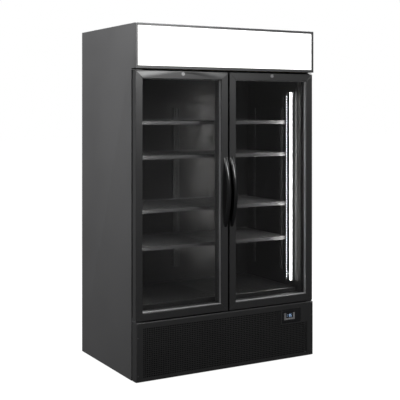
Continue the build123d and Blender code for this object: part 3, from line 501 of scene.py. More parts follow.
foam = Finish("wall foam", {"Specular IOR Level": 0.2})
cells = foam.grain(0.0025, 3.0)
skin = foam.grain(0.08, 3.0)
foam_mix = skin * 0.6 + cells * 0.4
foam.vary("Base Color", foam.blend(foam_mix, (0.62, 0.47, 0.20), (0.80, 0.68, 0.38)))
foam.vary("Roughness", cells * 0.15 + 0.8)
foam.relief(cells, 0.0008)
paint("insulation_foam", foam.material)

liner_black = powder_coat("black liner coat", (0.018, 0.018, 0.0185), 0.31, 0.0016, 0.00003)
stand_in("inner_liner", "liner_tub", 0.0003, liner_black, "liner_coat")
breaker_plastic = moulded("breaker plastic", (0.026, 0.026, 0.027), 0.38)
stand_in("front_jamb", "breaker_bars", 0.0006, breaker_plastic, "black_plastic")
stand_in("centre_mullion", "centre_post", 0.0008, liner_black, "liner_coat")
paint("air_duct_panel", liner_black)
paint("fan_panel", liner_black)

# ---- Uprights, shelf clips and arms ------------------------------------------
# Slotted steel uprights are riveted to the liner. Clips hooked in their slots carry the outer
# shelf edges, and cantilever arms on the centre upright carry the inner ones.

rail_coat = powder_coat("upright coat", (0.040, 0.040, 0.041), 0.42, 0.0010)
stand_in("shelf_uprights", "slotted_uprights", 0.0003, rail_coat, "liner_coat")
stand_in("shelf_supports", "clips_and_arms", 0.0005, rail_coat, "black_coat")

# ---- Shelves and floor grids -------------------------------------------------
# Punched steel sheet, 1.2 mm, with square holes. The front edge is rolled over and folded into
# a lip, and the rear edge is turned up. The floor grids stand on folded feet.

perforated = Recipe(
    "perforated sheet",
    ["Columns", "Rows", "Blank_columns", "Blank_rows"],
    ["Pitch", "Hole", "Sheet"],
)
size = perforated.sizes
width = size["Columns"] * size["Pitch"]
height = size["Rows"] * size["Pitch"]
field = perforated.grid(width, height, size["Columns"] + 1, size["Rows"] + 1)
spot = perforated.node("GeometryNodeInputPosition")["Position"]
spot = perforated.node("ShaderNodeSeparateXYZ", {}, {"Vector": spot})
blank = (spot["X"] > width * 0.5 - size["Blank_columns"] * size["Pitch"]) * (
    spot["Y"] > height * 0.5 - size["Blank_rows"] * size["Pitch"]
)
punched = perforated.without(field, blank)
rim = perforated.node(
    "GeometryNodeExtrudeMesh",
    {"mode": "FACES"},
    {"Mesh": punched, "Offset Scale": 0.0, "Individual": True},
)
holes = perforated.node(
    "GeometryNodeScaleElements",
    {"domain": "FACE"},
    {"Geometry": rim["Mesh"], "Selection": rim["Top"], "Scale": size["Hole"] / size["Pitch"]},
)["Geometry"]
walls = perforated.node(
    "GeometryNodeExtrudeMesh",
    {"mode": "FACES"},
    {
        "Mesh": holes,
        "Selection": rim["Top"],
        "Offset Scale": 0 - size["Sheet"],
        "Individual": True,
    },
)
front = perforated.without(walls["Mesh"], walls["Top"])
rear = perforated.without(holes, rim["Top"])
rear = perforated.node("GeometryNodeFlipFaces", {}, {"Mesh": rear})["Mesh"]
rear = perforated.moved(rear, Translation=perforated.vector(Z=0 - size["Sheet"]))
both = perforated.node("GeometryNodeJoinGeometry", {}, {"Geometry": [front, rear]})["Geometry"]
whole = perforated.node(
    "GeometryNodeMergeByDistance", {}, {"Geometry": both, "Distance": 0.00001}
)["Geometry"]
perforated.turn_out(whole)


def skin_over(shape, loops, capped=True):
    """Join each loop of vertices to the next with faces, and close both ends."""
    for before, after in zip(loops, loops[1:]):
        for here in range(len(before)):
            then = (here + 1) % len(before)
            shape.faces.new((before[here], before[then], after[then], after[here]))
    if capped:
        shape.faces.new(loops[0][::-1])
        shape.faces.new(loops[-1])


def prism(shape, outline, x0, x1):
    """Add a bar with a closed outline of (y, z) points between two x places."""
    skin_over(shape, [[shape.verts.new((x, y, z)) for y, z in outline] for x in (x0, x1)])


def rounded(corner, radius, start, turn, steps=4):
    """Points of a quarter bend about a corner's centre, in (y, z)."""
    angles = [math.radians(start + turn * k / steps) for k in range(steps + 1)]
    y, z = corner
    return [(y + radius * math.cos(a), z + radius * math.sin(a)) for a in angles]


def with_field(piece, shape):
    """Join the plain strips of a sheet to its punched field."""
    bmesh.ops.recalc_face_normals(shape, faces=shape.faces)
    shape.from_mesh(piece.data)
    name = piece.name
    bpy.data.objects.remove(piece)
    return piece_from(shape, name)


shelf_pitch = 0.0125
shelf_hole = 0.0070
shelf_sheet = 0.0012
shelf_edge = 0.014
shelf_roll = 0.003
shelf_hem = 0.007
shelf_upturn = 0.009
shelf_coat = powder_coat("shelf coat", (0.052, 0.052, 0.053), 0.40, 0.0011, 0.00004)


def punched_sheet(name, low, high, top, material):
    """A punched field that fills a rectangle as nearly as its pitch allows, with plain edges."""
    inside_x = high.x - low.x - 2 * shelf_edge
    inside_y = high.y - low.y - 2 * shelf_edge
    columns = int(inside_x / shelf_pitch)
    rows = int(inside_y / shelf_pitch)
    field = perforated.make(
        name,
        Columns=columns,
        Rows=rows,
        Pitch=shelf_pitch,
        Hole=shelf_hole,
        Sheet=shelf_sheet,
        Blank_columns=0,
        Blank_rows=0,
        Material=material,
    )
    middle = (low + high) / 2
    field.data.transform(Matrix.Translation((middle.x, middle.y, top)))
    half_x = columns * shelf_pitch / 2
    half_y = rows * shelf_pitch / 2
    strips = bmesh.new()
    under = top - shelf_sheet
    slab(strips, (low.x, low.y + shelf_roll, under), (middle.x - half_x, high.y, top))
    slab(strips, (middle.x + half_x, low.y + shelf_roll, under), (high.x, high.y, top))
    slab(
        strips,
        (middle.x - half_x, low.y + shelf_roll, under),
        (middle.x + half_x, middle.y - half_y, top),
    )
    slab(strips, (middle.x - half_x, middle.y + half_y, under), (middle.x + half_x, high.y, top))
    return field, strips


def shelf(word, number):
    """One shelf: punched sheet, rolled front lip with a hem, and a rear edge turned up."""
    node = f"shelf_{word}_{number}"
    low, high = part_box(node)
    top = high.z - shelf_upturn
    field, strips = punched_sheet(f"shelf_{word}_{number}_sheet", low, high, top, shelf_coat)
    bend = (low.y + shelf_roll, top - shelf_roll)
    inner = shelf_roll - shelf_sheet
    lip = rounded(bend, shelf_roll, 90, 90)
    lip += [(low.y, low.z), (low.y + shelf_hem, low.z), (low.y + shelf_hem, low.z + shelf_sheet)]
    lip += [(low.y + shelf_sheet, low.z + shelf_sheet)]
    lip += rounded(bend, inner, 180, -90)
    prism(strips, lip, low.x, high.x)
    slab(strips, (low.x, high.y - shelf_sheet, top), (high.x, high.y, high.z))
    fit(with_field(field, strips), shelf_coat, "cabinet", "shelf_coat", node)


for word in ("left", "right"):
    for number in (1, 2, 3, 4):
        shelf(word, number)

grid_low, grid_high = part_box("floor_grids")
grid_gap = 0.003
stood_for = ["floor_grids"]
for word, x0, x1 in (("left", grid_low.x, -grid_gap), ("right", grid_gap, grid_high.x)):
    low = Vector((x0, grid_low.y, grid_low.z))
    high = Vector((x1, grid_high.y, grid_high.z))
    field, strips = punched_sheet(f"floor_grid_{word}", low, high, high.z, liner_black)
    bend = (low.y + shelf_roll, high.z - shelf_roll)
    foot = rounded(bend, shelf_roll, 90, 90)
    foot += [(low.y, low.z), (low.y + shelf_sheet, low.z)]
    foot += rounded(bend, shelf_roll - shelf_sheet, 180, -90)
    prism(strips, foot, low.x, high.x)
    slab(strips, (low.x, high.y - shelf_sheet, low.z), (high.x, high.y, high.z - shelf_sheet))
    fit(with_field(field, strips), liner_black, "cabinet", "liner_coat", *stood_for)
    stood_for = []

# ---- Lamps -------------------------------------------------------------------
# Upright LED lamps stand on both side walls: an extruded aluminium channel, a frosted dome and
# moulded end caps. Behind each one runs a flexible tape with bare diodes.


frosted = {"Base Color": (0.8, 0.8, 0.8, 1), "Roughness": 0.5}


def lit(name, tone, strength, grain, depth):
    """A light-giving surface whose tone falls off a little, as through a frosted sheet."""
    glow = Finish(name, {**frosted, "Emission Strength": strength})
    cloud = glow.grain(grain, 3.0)
    glow.vary("Emission Color", glow.blend(cloud, shade(tone, 1 - depth), tone))
    return glow.material


def extruded(name, tone, roughness, along, metallic=1.0):
    """Drawn aluminium: fine die lines along the bar."""
    bar = Finish(name, {"Metallic": metallic})
    lines = bar.grain(0.002, 3.0, bar.stretched(*along))
    bar.vary("Base Color", bar.blend(lines, shade(tone, 0.85), tone))
    bar.vary("Roughness", lines * 0.18 + roughness)
    bar.relief(lines, 0.00002)
    return bar.material


lamp_metal = extruded("lamp channel", (0.72, 0.73, 0.75), 0.3, (1, 1, 0.01))
stand_in("lamp_housings", "lamp_channels", 0.0003, lamp_metal, "aluminium")
lens_glow = Finish("lamp glow", {**frosted, "Emission Strength": 80.0})
outward = lens_glow.node("ShaderNodeNewGeometry")["Normal"]
facing = lens_glow.node("ShaderNodeSeparateXYZ", {}, {"Vector": outward})["X"]
beam = facing.maths("POWER", facing.maths("ABSOLUTE", facing), 3.0)
lens_glow.vary("Emission Color", lens_glow.blend(beam, (0.003, 0.003, 0.003), (1.0, 0.99, 0.98)))
stand_in("lamp_diffusers", "lamp_domes", 0.0, lens_glow.material, "lamp")

lamp_low, lamp_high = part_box("lamp_housings")
dome_low, dome_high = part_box("lamp_diffusers")
cap_white = moulded("lamp cap plastic", (0.30, 0.30, 0.30), 0.45)
caps = bmesh.new()
cap_steps = 12
lamp_channel = 0.010
dome_rise = 0.0078
y_lamp = (lamp_low.y + lamp_high.y) / 2
for side in (-1, 1):
    x_base = side * (lamp_high.x - lamp_channel)
    half = (dome_high.y - dome_low.y) / 2
    arc = [math.pi * k / cap_steps for k in range(cap_steps + 1)]
    outline = [(x_base - side * dome_rise * math.sin(a), y_lamp + half * math.cos(a)) for a in arc]
    for z0, z1 in ((lamp_low.z, dome_low.z), (dome_high.z, lamp_high.z)):
        skin_over(caps, [[caps.verts.new((x, y, z)) for x, y in outline] for z in (z0, z1)])
fit(closed_from(caps, "lamp_end_caps"), cap_white, "cabinet", "white_coat")

diode_row = Recipe("diode row", ["Diodes"], ["Pitch", "Side", "Height"])
size = diode_row.sizes
line = diode_row.line(size["Diodes"], (0, 0, 0), diode_row.vector(Z=size["Pitch"]))
chip = diode_row.cone(8, size["Side"] * 0.5, size["Side"] * 0.42, size["Height"])
chip = diode_row.moved(chip, Rotation=(0, math.pi / 2, 0))
diode_row.turn_out(diode_row.copies(line, chip))

diode_pitch = 0.0165
diode_side = 0.0068
diode_height = 0.0014
diode_y = y_lamp + 0.064
tape_half = 0.004
tape_film = 0.0006
diode_glow = lit("diode glow", (1.0, 1.0, 1.0), 5.0, 0.004, 0.1)
tape_coat = moulded("diode tape", (0.015, 0.015, 0.016), 0.5)
tape_low = lamp_low.z + 0.005
tape_high = lamp_high.z - 0.015
tape = bmesh.new()
for side, word in ((-1, "left"), (1, "right")):
    x_wall = side * lamp_high.x
    x_chip = x_wall - side * tape_film
    xs = sorted((x_wall, x_chip))
    slab(tape, (xs[0], diode_y - tape_half, tape_low), (xs[1], diode_y + tape_half, tape_high))
    diodes = diode_row.make(
        f"diodes_{word}",
        Diodes=int((tape_high - tape_low) / diode_pitch),
        Pitch=diode_pitch,
        Side=diode_side,
        Height=diode_height,
        Material=diode_glow,
    )
    inward = Matrix.Rotation(math.pi if side > 0 else 0.0, 4, "Z")
    place = Matrix.Translation((x_chip, diode_y, tape_low + diode_pitch / 2))
    diodes.data.transform(place @ inward)
    fit(diodes, diode_glow, "cabinet", "lamp")
fit(piece_from(tape, "diode_tapes"), tape_coat, "cabinet", "white_coat")

# ---- Sign box ----------------------------------------------------------------
# A black aluminium frame holds an opal acrylic sheet, lit from behind by three bars on a white
# tray. The sheet is blank.

trim_black = powder_coat("sign frame coat", (0.040, 0.040, 0.041), 0.38, 0.0009)
stand_in("canopy_frame", "sign_frame", 0.0007, trim_black, "black_trim")
opal = Finish("opal acrylic", {"Roughness": 0.3, "Emission Strength": 1.0})
past_bars = opal.axes()[0] - 0.5
dim_end = past_bars.maths("MAXIMUM", past_bars, 0.0) * 2.6
opal.vary("Base Color", opal.blend(opal.grain(0.3, 2.0), (0.80, 0.80, 0.80), (0.86, 0.86, 0.86)))
opal.vary("Emission Color", opal.blend(dim_end, (1.0, 1.0, 1.0), (0.45, 0.46, 0.47)))
stand_in("sign_panel", "sign_sheet", 0.0003, opal.material, "sign")
paint("canopy_light_tray", powder_coat("white tray coat", (0.80, 0.80, 0.79), 0.4))

# ---- Grille panel ------------------------------------------------------------
# The lower front is one folded sheet with a field of square holes for the condenser air and a
# plain corner for the temperature controller. A filter mat lies behind the holes; its near-black
# tone is partly the mat's own colour and partly painted shade for the dark seen through the holes.
# Four black screws hold the sheet, and six more hold the rear cover.


def ring(shape, outline, low, high):
    """Sweep a closed outline of (inset, y) points round an upright rectangle, mitred."""
    loops = []
    for inset, y in outline:
        xs, zs = (low.x + inset, high.x - inset), (low.z + inset, high.z - inset)
        corners = ((xs[0], zs[0]), (xs[1], zs[0]), (xs[1], zs[1]), (xs[0], zs[1]))
        loops.append([shape.verts.new((x, y, z)) for x, z in corners])
    skin_over(shape, loops + loops[:1], capped=False)


grille_low, grille_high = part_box("grille_panel")
bezel_low, bezel_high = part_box("controller_bezel")
grille_coat = powder_coat("grille coat", (0.021, 0.021, 0.0215), 0.42, 0.0010)
sheet = 0.0015
grille_pitch = 0.011
grille_hole = 0.0071
grille_columns = 102
grille_rows = 25
blank_columns = 18
blank_rows = 8
side_border = 0.041
top_border = 0.031
cutout_gap = 0.0002
field_right = grille_high.x - side_border
field_top = grille_high.z - top_border
field = perforated.make(
    "grille_sheet",
    Columns=grille_columns,
    Rows=grille_rows,
    Pitch=grille_pitch,
    Hole=grille_hole,
    Sheet=sheet,
    Blank_columns=blank_columns,
    Blank_rows=blank_rows,
    Material=grille_coat,
)
field_left = field_right - grille_columns * grille_pitch
field_bottom = field_top - grille_rows * grille_pitch
standing = Matrix.Translation(
    ((field_left + field_right) / 2, grille_low.y, (field_bottom + field_top) / 2)
) @ Matrix.Rotation(math.pi / 2, 4, "X")
field.data.transform(standing)
blank_left = field_right - blank_columns * grille_pitch
blank_bottom = field_top - blank_rows * grille_pitch
tray = bmesh.new()
corner = 0.004
margin = 0.010
y_front, y_inner = grille_low.y, grille_low.y + sheet
bend = [math.radians(90 * k / 4) for k in range(5)]
outline = [
    (corner - corner * math.sin(a), y_front + corner - corner * math.cos(a)) for a in bend
]
outline += [(0.0, grille_high.y), (sheet, grille_high.y), (sheet, y_front + corner)]
outline += [(corner, y_inner), (margin, y_inner), (margin, y_front)]
ring(tray, outline, grille_low, grille_high)


def plain(x0, x1, z0, z1):
    """A plain strip of the grille's front."""
    slab(tray, (x0, y_front, z0), (x1, y_inner, z1))


edge_left, edge_right = grille_low.x + margin, grille_high.x - margin
edge_bottom, edge_top = grille_low.z + margin, grille_high.z - margin
hole_left, hole_right = bezel_low.x - cutout_gap, bezel_high.x + cutout_gap
hole_bottom, hole_top = bezel_low.z - cutout_gap, bezel_high.z + cutout_gap
plain(edge_left, field_left, edge_bottom, edge_top)
plain(field_right, edge_right, edge_bottom, edge_top)
plain(field_left, field_right, edge_bottom, field_bottom)
plain(field_left, hole_left, field_top, edge_top)
plain(hole_left, field_right, hole_top, edge_top)
plain(blank_left, hole_left, blank_bottom, field_top)
plain(hole_right, field_right, blank_bottom, hole_top)
plain(hole_left, hole_right, blank_bottom, hole_bottom)
fit(with_field(field, tray), grille_coat, "cabinet", "grille_coat", "grille_panel")

mat_setback = 0.026
mat_thickness = 0.004
mat_overlap = 0.010
mat_seam = 0.001
beside_bezel = 0.020
below_bezel = 0.012
mat_front = grille_low.y + mat_setback
mat_back = mat_front + mat_thickness
mat_right = bezel_low.x - beside_bezel
low_top = bezel_low.z - below_bezel
mat = bmesh.new()
slab(mat, (edge_left, mat_front, edge_bottom), (mat_right, mat_back, field_top + mat_overlap))
slab(mat, (mat_right + mat_seam, mat_front, edge_bottom), (field_right, mat_back, low_top))
# The mat's near-black fibre tone is partly painted shade behind the grille holes.
mat_fibre_and_shade = Finish("filter mat", {"Specular IOR Level": 0.1})
strands = mat_fibre_and_shade.grain(0.0015, 5.0)
fibre_and_shade_tone = mat_fibre_and_shade.blend(strands, (0.001, 0.001, 0.001), (0.004, 0.004, 0.004))
mat_fibre_and_shade.vary("Base Color", fibre_and_shade_tone)
mat_fibre_and_shade.vary("Roughness", strands * 0.1 + 0.85)
mat_fibre_and_shade.relief(strands, 0.0006)
fit(piece_from(mat, "dust_filter_mat"), mat_fibre_and_shade.material, "cabinet", "black_plastic")

screw = Recipe("cross-head screws", ["Columns", "Rows"], ["Across", "Up", "Radius", "Height"])
size = screw.sizes
spots = screw.grid(size["Across"], size["Up"], size["Columns"], size["Rows"])
head = screw.cone(24, size["Radius"], size["Radius"] * 0.62, size["Height"])
drives = []
for x, y in ((1.0, 0.2), (0.2, 1.0)):
    bar = screw.vector(X=size["Radius"] * x, Y=size["Radius"] * y, Z=size["Height"])
    cube = screw.node("GeometryNodeMeshCube", {}, {"Size": bar})["Mesh"]
    drives.append(screw.moved(cube, Translation=screw.vector(Z=size["Height"] * 0.95)))
crossed = screw.node(
    "GeometryNodeMeshBoolean", {"operation": "DIFFERENCE"}, {0: head, 1: drives}
)["Mesh"]
screw.turn_out(screw.copies(spots, crossed))

screw_black = powder_coat("black screw finish", (0.05, 0.05, 0.052), 0.3, 0.0006)
screw_low, screw_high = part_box("panel_screws")
screw_radius = 0.004
screw_height = 0.0012


def screws(name, columns, half_width, rise, middle, y, turn, *stood_for):
    """Two rows of screw heads on an upright sheet, about their middle height."""
    heads = screw.make(
        name,
        Columns=columns,
        Rows=2,
        Across=2 * half_width,
        Up=rise,
        Radius=screw_radius,
        Height=screw_height,
        Material=screw_black,
    )
    place = Matrix.Translation((0, y, middle))
    heads.data.transform(place @ Matrix.Rotation(math.radians(turn), 4, "X"))
    fit(heads, screw_black, "cabinet", "black_screw", *stood_for)


y_screws = screw_low.y + screw_height
screws("grille_screws", 2, 0.590, 0.209, 0.1415, y_screws, 90, "panel_screws")
y_screws = screw_high.y - screw_height
screws("rear_cover_screws", 3, 0.576, 0.258, 0.169, y_screws, -90)

# ---- Temperature controller --------------------------------------------------
# A snap-in module in a glossy black bezel: light grey face, black window with lit digits, and
# three keys below it.


def gloss_black(name, tone, roughness, coat):
    """Polished moulding: deep black, with faint wiping marks in its gloss."""
    constants = {"Specular IOR Level": 0.5, "Coat Weight": coat, "Coat Roughness": 0.08}
    gloss = Finish(name, constants)
    wipe = gloss.grain(0.02, 4.0, gloss.stretched(1, 1, 0.3))
    gloss.vary("Base Color", gloss.blend(wipe, shade(tone, 0.8), shade(tone, 1.2)))
    gloss.vary("Roughness", wipe * 0.14 + (roughness - 0.07))
    return gloss.material


bezel_black = gloss_black("bezel plastic", (0.012, 0.012, 0.013), 0.19, 0.5)
stand_in("controller_bezel", "bezel_moulding", 0.0005, bezel_black, "gloss_black")
face_grey = moulded("controller grey", (0.17, 0.17, 0.175), 0.4)
stand_in("controller_display", "controller_module", 0.0002, face_grey, "controller_grey")
key_grey = moulded("key plastic", (0.24, 0.24, 0.245), 0.4)
for key in ("set", "up", "down"):
    stand_in(
        f"button_{key}", f"key_{key}", 0.0002, key_grey, "key_plastic", f"{key}_button"
    )

module_low, module_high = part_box("controller_display")
x_window = (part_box("button_set")[0].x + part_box("button_down")[1].x) / 2
window_rise = 0.003875
z_window = (module_low.z + module_high.z) / 2 + window_rise
window_half = (0.0249, 0.0134)
y_pane = module_low.y - 0.0003
window = bmesh.new()
slab(
    window,
    (x_window - window_half[0], y_pane, z_window - window_half[1]),
    (x_window + window_half[0], module_low.y + 0.001, module_high.z - 0.0005),
)
soften(window, window.edges, 0.0002)
fit(piece_from(window, "controller_window"), bezel_black, "cabinet", "gloss_black")

digit_height = 0.0150
digit_width = 0.0080
digit_gap = 0.0006
digit_place = 0.004
digit_spread = 0.0062
stroke = 0.0018
mark_x = 0.016
mark_z = 0.004
mark_length = 0.0045
digits = bmesh.new()
bar_places = {
    "a": (0, 1, False),
    "b": (0.5, 0.5, True),
    "c": (0.5, -0.5, True),
    "d": (0, -1, False),
    "f": (-0.5, 0.5, True),
    "g": (0, 0, False),
}


def bar_segment(x, z, upright, length):
    """One lit bar of a digit, pointed at both ends."""
    half, thick = length / 2, stroke / 2
    points = [(-half, 0), (-half + thick, thick), (half - thick, thick)]
    points += [(half, 0), (half - thick, -thick), (-half + thick, -thick)]
    if upright:
        points = [(-b, a) for a, b in points]
    layers = (y_pane - 0.0003, y_pane + 0.0001)
    skin_over(digits, [[digits.verts.new((x + a, y, z + b)) for a, b in points] for y in layers])


for place, figure in ((-1, "abcdg"), (1, "acdfg")):
    x_digit = x_window + digit_place + place * digit_spread
    for letter in figure:
        across, up, upright = bar_places[letter]
        length = (digit_height / 2 if upright else digit_width) - digit_gap
        x_bar = x_digit + across * digit_width
        bar_segment(x_bar, z_window + up * digit_height / 2, upright, length)
for rise in (mark_z, -mark_z):
    bar_segment(x_window - mark_x, z_window + rise, False, mark_length)
digit_blue = lit("digit blue", (0.015, 0.24, 0.62), 1.0, 0.004, 0.2)
fit(closed_from(digits, "lit_digits"), digit_blue, "cabinet", "controller_grey")

# ---- Door brackets and keepers -----------------------------------------------
# Folded brackets, coated black, carry the hinge pins above and below each door. A keeper tab
# hangs under the sign box in front of each lock cam.

bracket_coat = powder_coat("bracket coat", (0.05, 0.05, 0.052), 0.4)
stand_in("door_brackets", "hinge_and_lock_brackets", 0.0004, bracket_coat, "zinc")

# ---- Doors -------------------------------------------------------------------
# Each door is a mitred aluminium frame, powder coated black, round a sealed glass unit: two
# panes on a pale hollow spacer, held by a rubber bead. A magnetic gasket lines its back.

door_coat = powder_coat("door frame coat", (0.024, 0.024, 0.0245), 0.34, 0.0011, 0.00004)
spacer_metal = extruded("glass spacer", (0.50, 0.50, 0.51), 0.42, (1, 1, 0.02), 0.15)
bead_rubber = moulded("bead rubber", (0.012, 0.012, 0.012), 0.6)

glass = Finish("door glass", {})
clear = glass.node("ShaderNodeBsdfTransparent", {}, {"Color": (0.97, 0.97, 0.97, 1)})["BSDF"]
polish = {"Color": (1, 1, 1, 1), "Roughness": 0.02}
mirror = glass.node("ShaderNodeBsdfGlossy", {}, polish)["BSDF"]
share = glass.node("ShaderNodeFresnel", {}, {"IOR": 1.35})["Fac"]
film = glass.grain(0.25, 3.0) * 0.01
mixed = glass.node("ShaderNodeMixShader", {}, {0: share + film, 1: clear, 2: mirror})["Shader"]
glass.tree.links.new(mixed.socket, glass.tree.nodes["Material Output"].inputs["Surface"])

rubber = Finish("gasket rubber", {"Specular IOR Level": 0.3})
bloom = rubber.grain(0.03, 4.0)
rubber.vary("Base Color", rubber.blend(bloom, (0.012, 0.012, 0.012), (0.030, 0.030, 0.030)))
rubber.vary("Roughness", bloom * 0.2 + 0.55)

pane = 0.004
spacer_show = 0.0128
spacer_chamfer = 0.0012
spacer_seal = 0.0002
bead_inset = 0.0425
bead_setback = 0.0022
gasket_profile = (
    *((0.0015, 0.0), (0.0015, 0.25), (0.0, 0.4), (0.002, 0.6), (0.0005, 0.8), (0.0015, 1.0)),
    *((0.0105, 1.0), (0.0115, 0.8), (0.010, 0.6), (0.012, 0.4), (0.0105, 0.25), (0.0105, 0.0)),
)


def swept(name, outline, low, high, material, body, slot, *stood_for):
    """Mount a mitred ring of one closed profile on its body."""
    shape = bmesh.new()
    ring(shape, outline, low, high)
    fit(closed_from(shape, name), material, body, slot, *stood_for)


for word in ("left", "right"):
    body = f"{word}_door"
    frame_node = f"door_frame_{word}"
    stand_in(frame_node, f"door_frame_bars_{word}", 0.0012, door_coat, "door_coat", body)

    glass_low, glass_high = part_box(f"door_glass_{word}")
    panes = bmesh.new()
    slab(panes, glass_low, (glass_high.x, glass_low.y + pane, glass_high.z))
    slab(panes, (glass_low.x, glass_high.y - pane, glass_low.z), glass_high)
    soften(panes, panes.edges, 0.0004, 1)
    unit = piece_from(panes, f"door_panes_{word}")
    fit(unit, glass.material, body, "glass", f"door_glass_{word}")

    y0, y1 = glass_low.y + pane + spacer_seal, glass_high.y - pane - spacer_seal
    inner = spacer_show - spacer_chamfer
    outline = [(0.0, y0), (inner, y0), (spacer_show, y0 + spacer_chamfer)]
    outline += [(spacer_show, y1 - spacer_chamfer), (inner, y1), (0.0, y1)]
    spacer = f"glass_spacer_{word}"
    swept(spacer, outline, glass_low, glass_high, spacer_metal, body, "aluminium")

    low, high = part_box(frame_node)
    y_bead = low.y + bead_setback
    outline = [(bead_inset - 0.001, y_bead), (bead_inset + 0.0002, y_bead)]
    outline += [(bead_inset + 0.0008, y_bead + 0.0012), (bead_inset + 0.0009, glass_low.y)]
    outline += [(bead_inset - 0.001, glass_low.y)]
    swept(f"glazing_bead_{word}", outline, low, high, bead_rubber, body, "gasket_rubber")

    low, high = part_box(f"door_gasket_{word}")
    outline = [(inset, low.y + share * (high.y - low.y)) for inset, share in gasket_profile]
    bellows = f"door_gasket_bellows_{word}"
    stood_for = f"door_gasket_{word}"
    swept(bellows, outline, low, high, rubber.material, body, "gasket_rubber", stood_for)

# ---- Door handles ------------------------------------------------------------
# Bow handles moulded in glossy black plastic, screwed on from inside the frame. Each is a
# crescent on two feet, and a web toward the other door makes its finger gap a pocket.

handle_black = gloss_black("handle plastic", (0.008, 0.008, 0.0085), 0.24, 0.0)
foot_length = 0.030
grip_gap = 0.026
web_rise = 0.038
web_inset = 0.001
web_sheet = 0.003
slices = 48
around = 28
roundness = 2.6
taper = 0.16
shares = [-1 + 2 * k / slices for k in range(slices + 1)]


def arc_rise(share, half, sagitta):
    """Height of an arc above its chord, at a share of its half length from the middle."""
    radius = (half * half + sagitta * sagitta) / (2 * sagitta)
    return math.sqrt(radius * radius - (share * half) ** 2) - (radius - sagitta)


for word in ("left", "right"):
    low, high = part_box(f"door_handle_{word}")
    middle = (low + high) / 2
    half = (high.z - low.z) / 2
    inner_half = half - foot_length
    web_half = half - foot_length / 2
    bow = bmesh.new()
    loops = []
    for share in shares:
        y_outer = high.y - arc_rise(share, half, high.y - low.y)
        y_inner = high.y - arc_rise(share, inner_half, grip_gap)
        outer = Vector((0, y_outer, middle.z + share * half))
        inner = Vector((0, y_inner, middle.z + share * inner_half))
        centre, reach = (outer + inner) / 2, (outer - inner) / 2
        wide = (high.x - low.x) / 2 * (1 - taper * abs(share) ** 5)
        loop = []
        for n in range(around):
            turn = 2 * math.pi * n / around
            c, s = math.cos(turn), math.sin(turn)
            across = math.copysign(abs(c) ** (2 / roundness), c) * wide
            point = centre + reach * math.copysign(abs(s) ** (2 / roundness), s)
            loop.append(bow.verts.new((middle.x + across, point.y, point.z)))
        loops.append(loop)
    skin_over(bow, loops)
    side = -1 if word == "left" else 1
    inside = (low.x if side > 0 else high.x) + side * web_inset
    web = [(high.y, middle.z + web_half)]
    for share in shares[1:-1]:
        y_web = high.y - arc_rise(share, web_half, web_rise)
        web.append((y_web, middle.z - share * web_half))
    web.append((high.y, middle.z - web_half))
    prism(bow, web, inside, inside + side * web_sheet)
    handle = closed_from(bow, f"bow_handle_{word}", 50)
    fit(handle, handle_black, f"{word}_door", "gloss_black", f"door_handle_{word}")

# ---- Locks -------------------------------------------------------------------
# A chrome barrel lock in each top rail. The plug turns with the key and swings a flat cam up
# behind its keeper.

chrome = Finish("lock chrome", {"Metallic": 1.0})
haze = chrome.grain(0.004, 3.0)
chrome.vary("Base Color", chrome.blend(haze, (0.20, 0.20, 0.203), (0.28, 0.28, 0.283)))
chrome.vary("Roughness", haze * 0.12 + 0.42)
for word in ("left", "right"):
    for part, copy, body in (("barrel", "sleeve", "door"), ("plug", "core", "lock")):
        stand_in(
            f"lock_{part}_{word}",
            f"lock_{copy}_{word}",
            0.0002,
            chrome.material,
            "lock_chrome",
            f"{word}_{body}",
        )

# ---- Feet --------------------------------------------------------------------
# Moulded levelling feet on threaded studs, screwed into bosses in the base pan.

foot_black = moulded("foot plastic", (0.03, 0.03, 0.031), 0.5)
for place in ("front_left", "front_right", "back_left", "back_right"):
    copy = f"levelling_foot_{place}"
    stand_in(f"foot_{place}", copy, 0.0004, foot_black, "foot_plastic", f"{place}_foot")

# ---- Floor, lights and camera ------------------------------------------------
# A plain white floor with a painted shadow under the body, soft boxes at the left, right, front
# and back, and a level camera at the front left.

floor_mesh = bpy.data.meshes.new("studio_floor")
reach = 40.0
floor_corners = [(-reach, -reach, 0), (reach, -reach, 0), (reach, reach, 0), (-reach, reach, 0)]
floor_mesh.from_pydata(floor_corners, [], [(0, 1, 2, 3)])
floor = bpy.data.objects.new("studio_floor", floor_mesh)
bpy.context.scene.collection.objects.link(floor)
paper = Finish(
    "studio paper",
    {"Base Color": (0.02, 0.02, 0.02, 1), "Roughness": 0.9, "Emission Strength": 1.0},
)
x, y = paper.axes()[:2]
shadow_soft_edge = 0.02
body_back = cad_box[1][1]
body_middle = (body_back + grille_low.y) / 2


def under(distance, half):
    """1 well inside a half width, 0 outside it, with a soft edge between."""
    share = (half - distance) / shadow_soft_edge
    return share.maths("MINIMUM", share.maths("MAXIMUM", share, 0.0), 1.0)
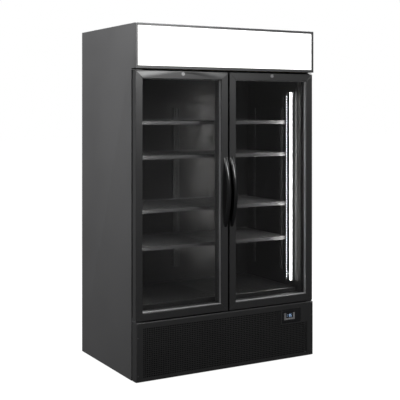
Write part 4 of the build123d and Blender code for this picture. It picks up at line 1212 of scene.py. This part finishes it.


# Painted shadow: the floor's glow is darkened over the body's footprint, with a soft edge.
across = under(x.maths("ABSOLUTE", x), cad_box[1][0])
along = under(x.maths("ABSOLUTE", y - body_middle), body_back - body_middle)
paper.vary("Emission Color", paper.blend(across * along, (1.0, 1.0, 1.0), (0.01, 0.01, 0.01)))
floor_mesh.materials.append(paper.material)
floor.visible_diffuse = False
floor.visible_glossy = False


def soft_box(name, place, aim, size, power):
    """A rectangular soft light that faces a point."""
    lamp = bpy.data.lights.new(name, "AREA")
    lamp.shape = "RECTANGLE"
    lamp.size, lamp.size_y = size
    lamp.energy = power
    box = bpy.data.objects.new(name, lamp)
    box.location = place
    box.rotation_euler = (Vector(aim) - Vector(place)).to_track_quat("-Z", "Y").to_euler()
    bpy.context.scene.collection.objects.link(box)


soft_box("key_box", (-3.6, -0.4, 3.4), (-0.6, 0.0, 1.3), (2.6, 1.6), 330)
soft_box("front_box", (0.7, -3.3, 2.8), (-0.3, -0.36, 1.7), (1.0, 1.3), 95)
soft_box("right_box", (3.8, 0.6, 2.8), (0.6, 0.0, 1.1), (2.4, 1.6), 200)
soft_box("rear_box", (1.5, 3.5, 3.0), (0.0, 0.4, 1.2), (2.5, 2.0), 160)

world = bpy.data.worlds.new("studio")
bpy.context.scene.world = world
world.use_nodes = True
air = Wiring(world.node_tree)
up = air.node("ShaderNodeTexCoord")["Generated"]
level = air.node("ShaderNodeSeparateXYZ", {}, {"Vector": up})["Z"]
seen = air.node("ShaderNodeLightPath")["Is Camera Ray"]
dim = level * 0.04 + 0.05
background = world.node_tree.nodes["Background"]
air.feed(background.inputs["Color"], (1.0, 1.0, 1.0, 1.0))
air.feed(background.inputs["Strength"], seen + (1 - seen) * dim)

lens = bpy.data.cameras.new("camera")
lens.lens = 81.26
lens.sensor_width = 36.0
lens.shift_y = -0.2209
lens.clip_end = 200.0
camera = bpy.data.objects.new("camera", lens)
camera.location = (-2.7573, -4.8594, 1.4973)
camera.rotation_euler = (math.radians(90), 0.0, math.radians(-29.659))
bpy.context.scene.collection.objects.link(camera)
bpy.context.scene.camera = camera
bpy.context.scene.view_settings.view_transform = "Standard"
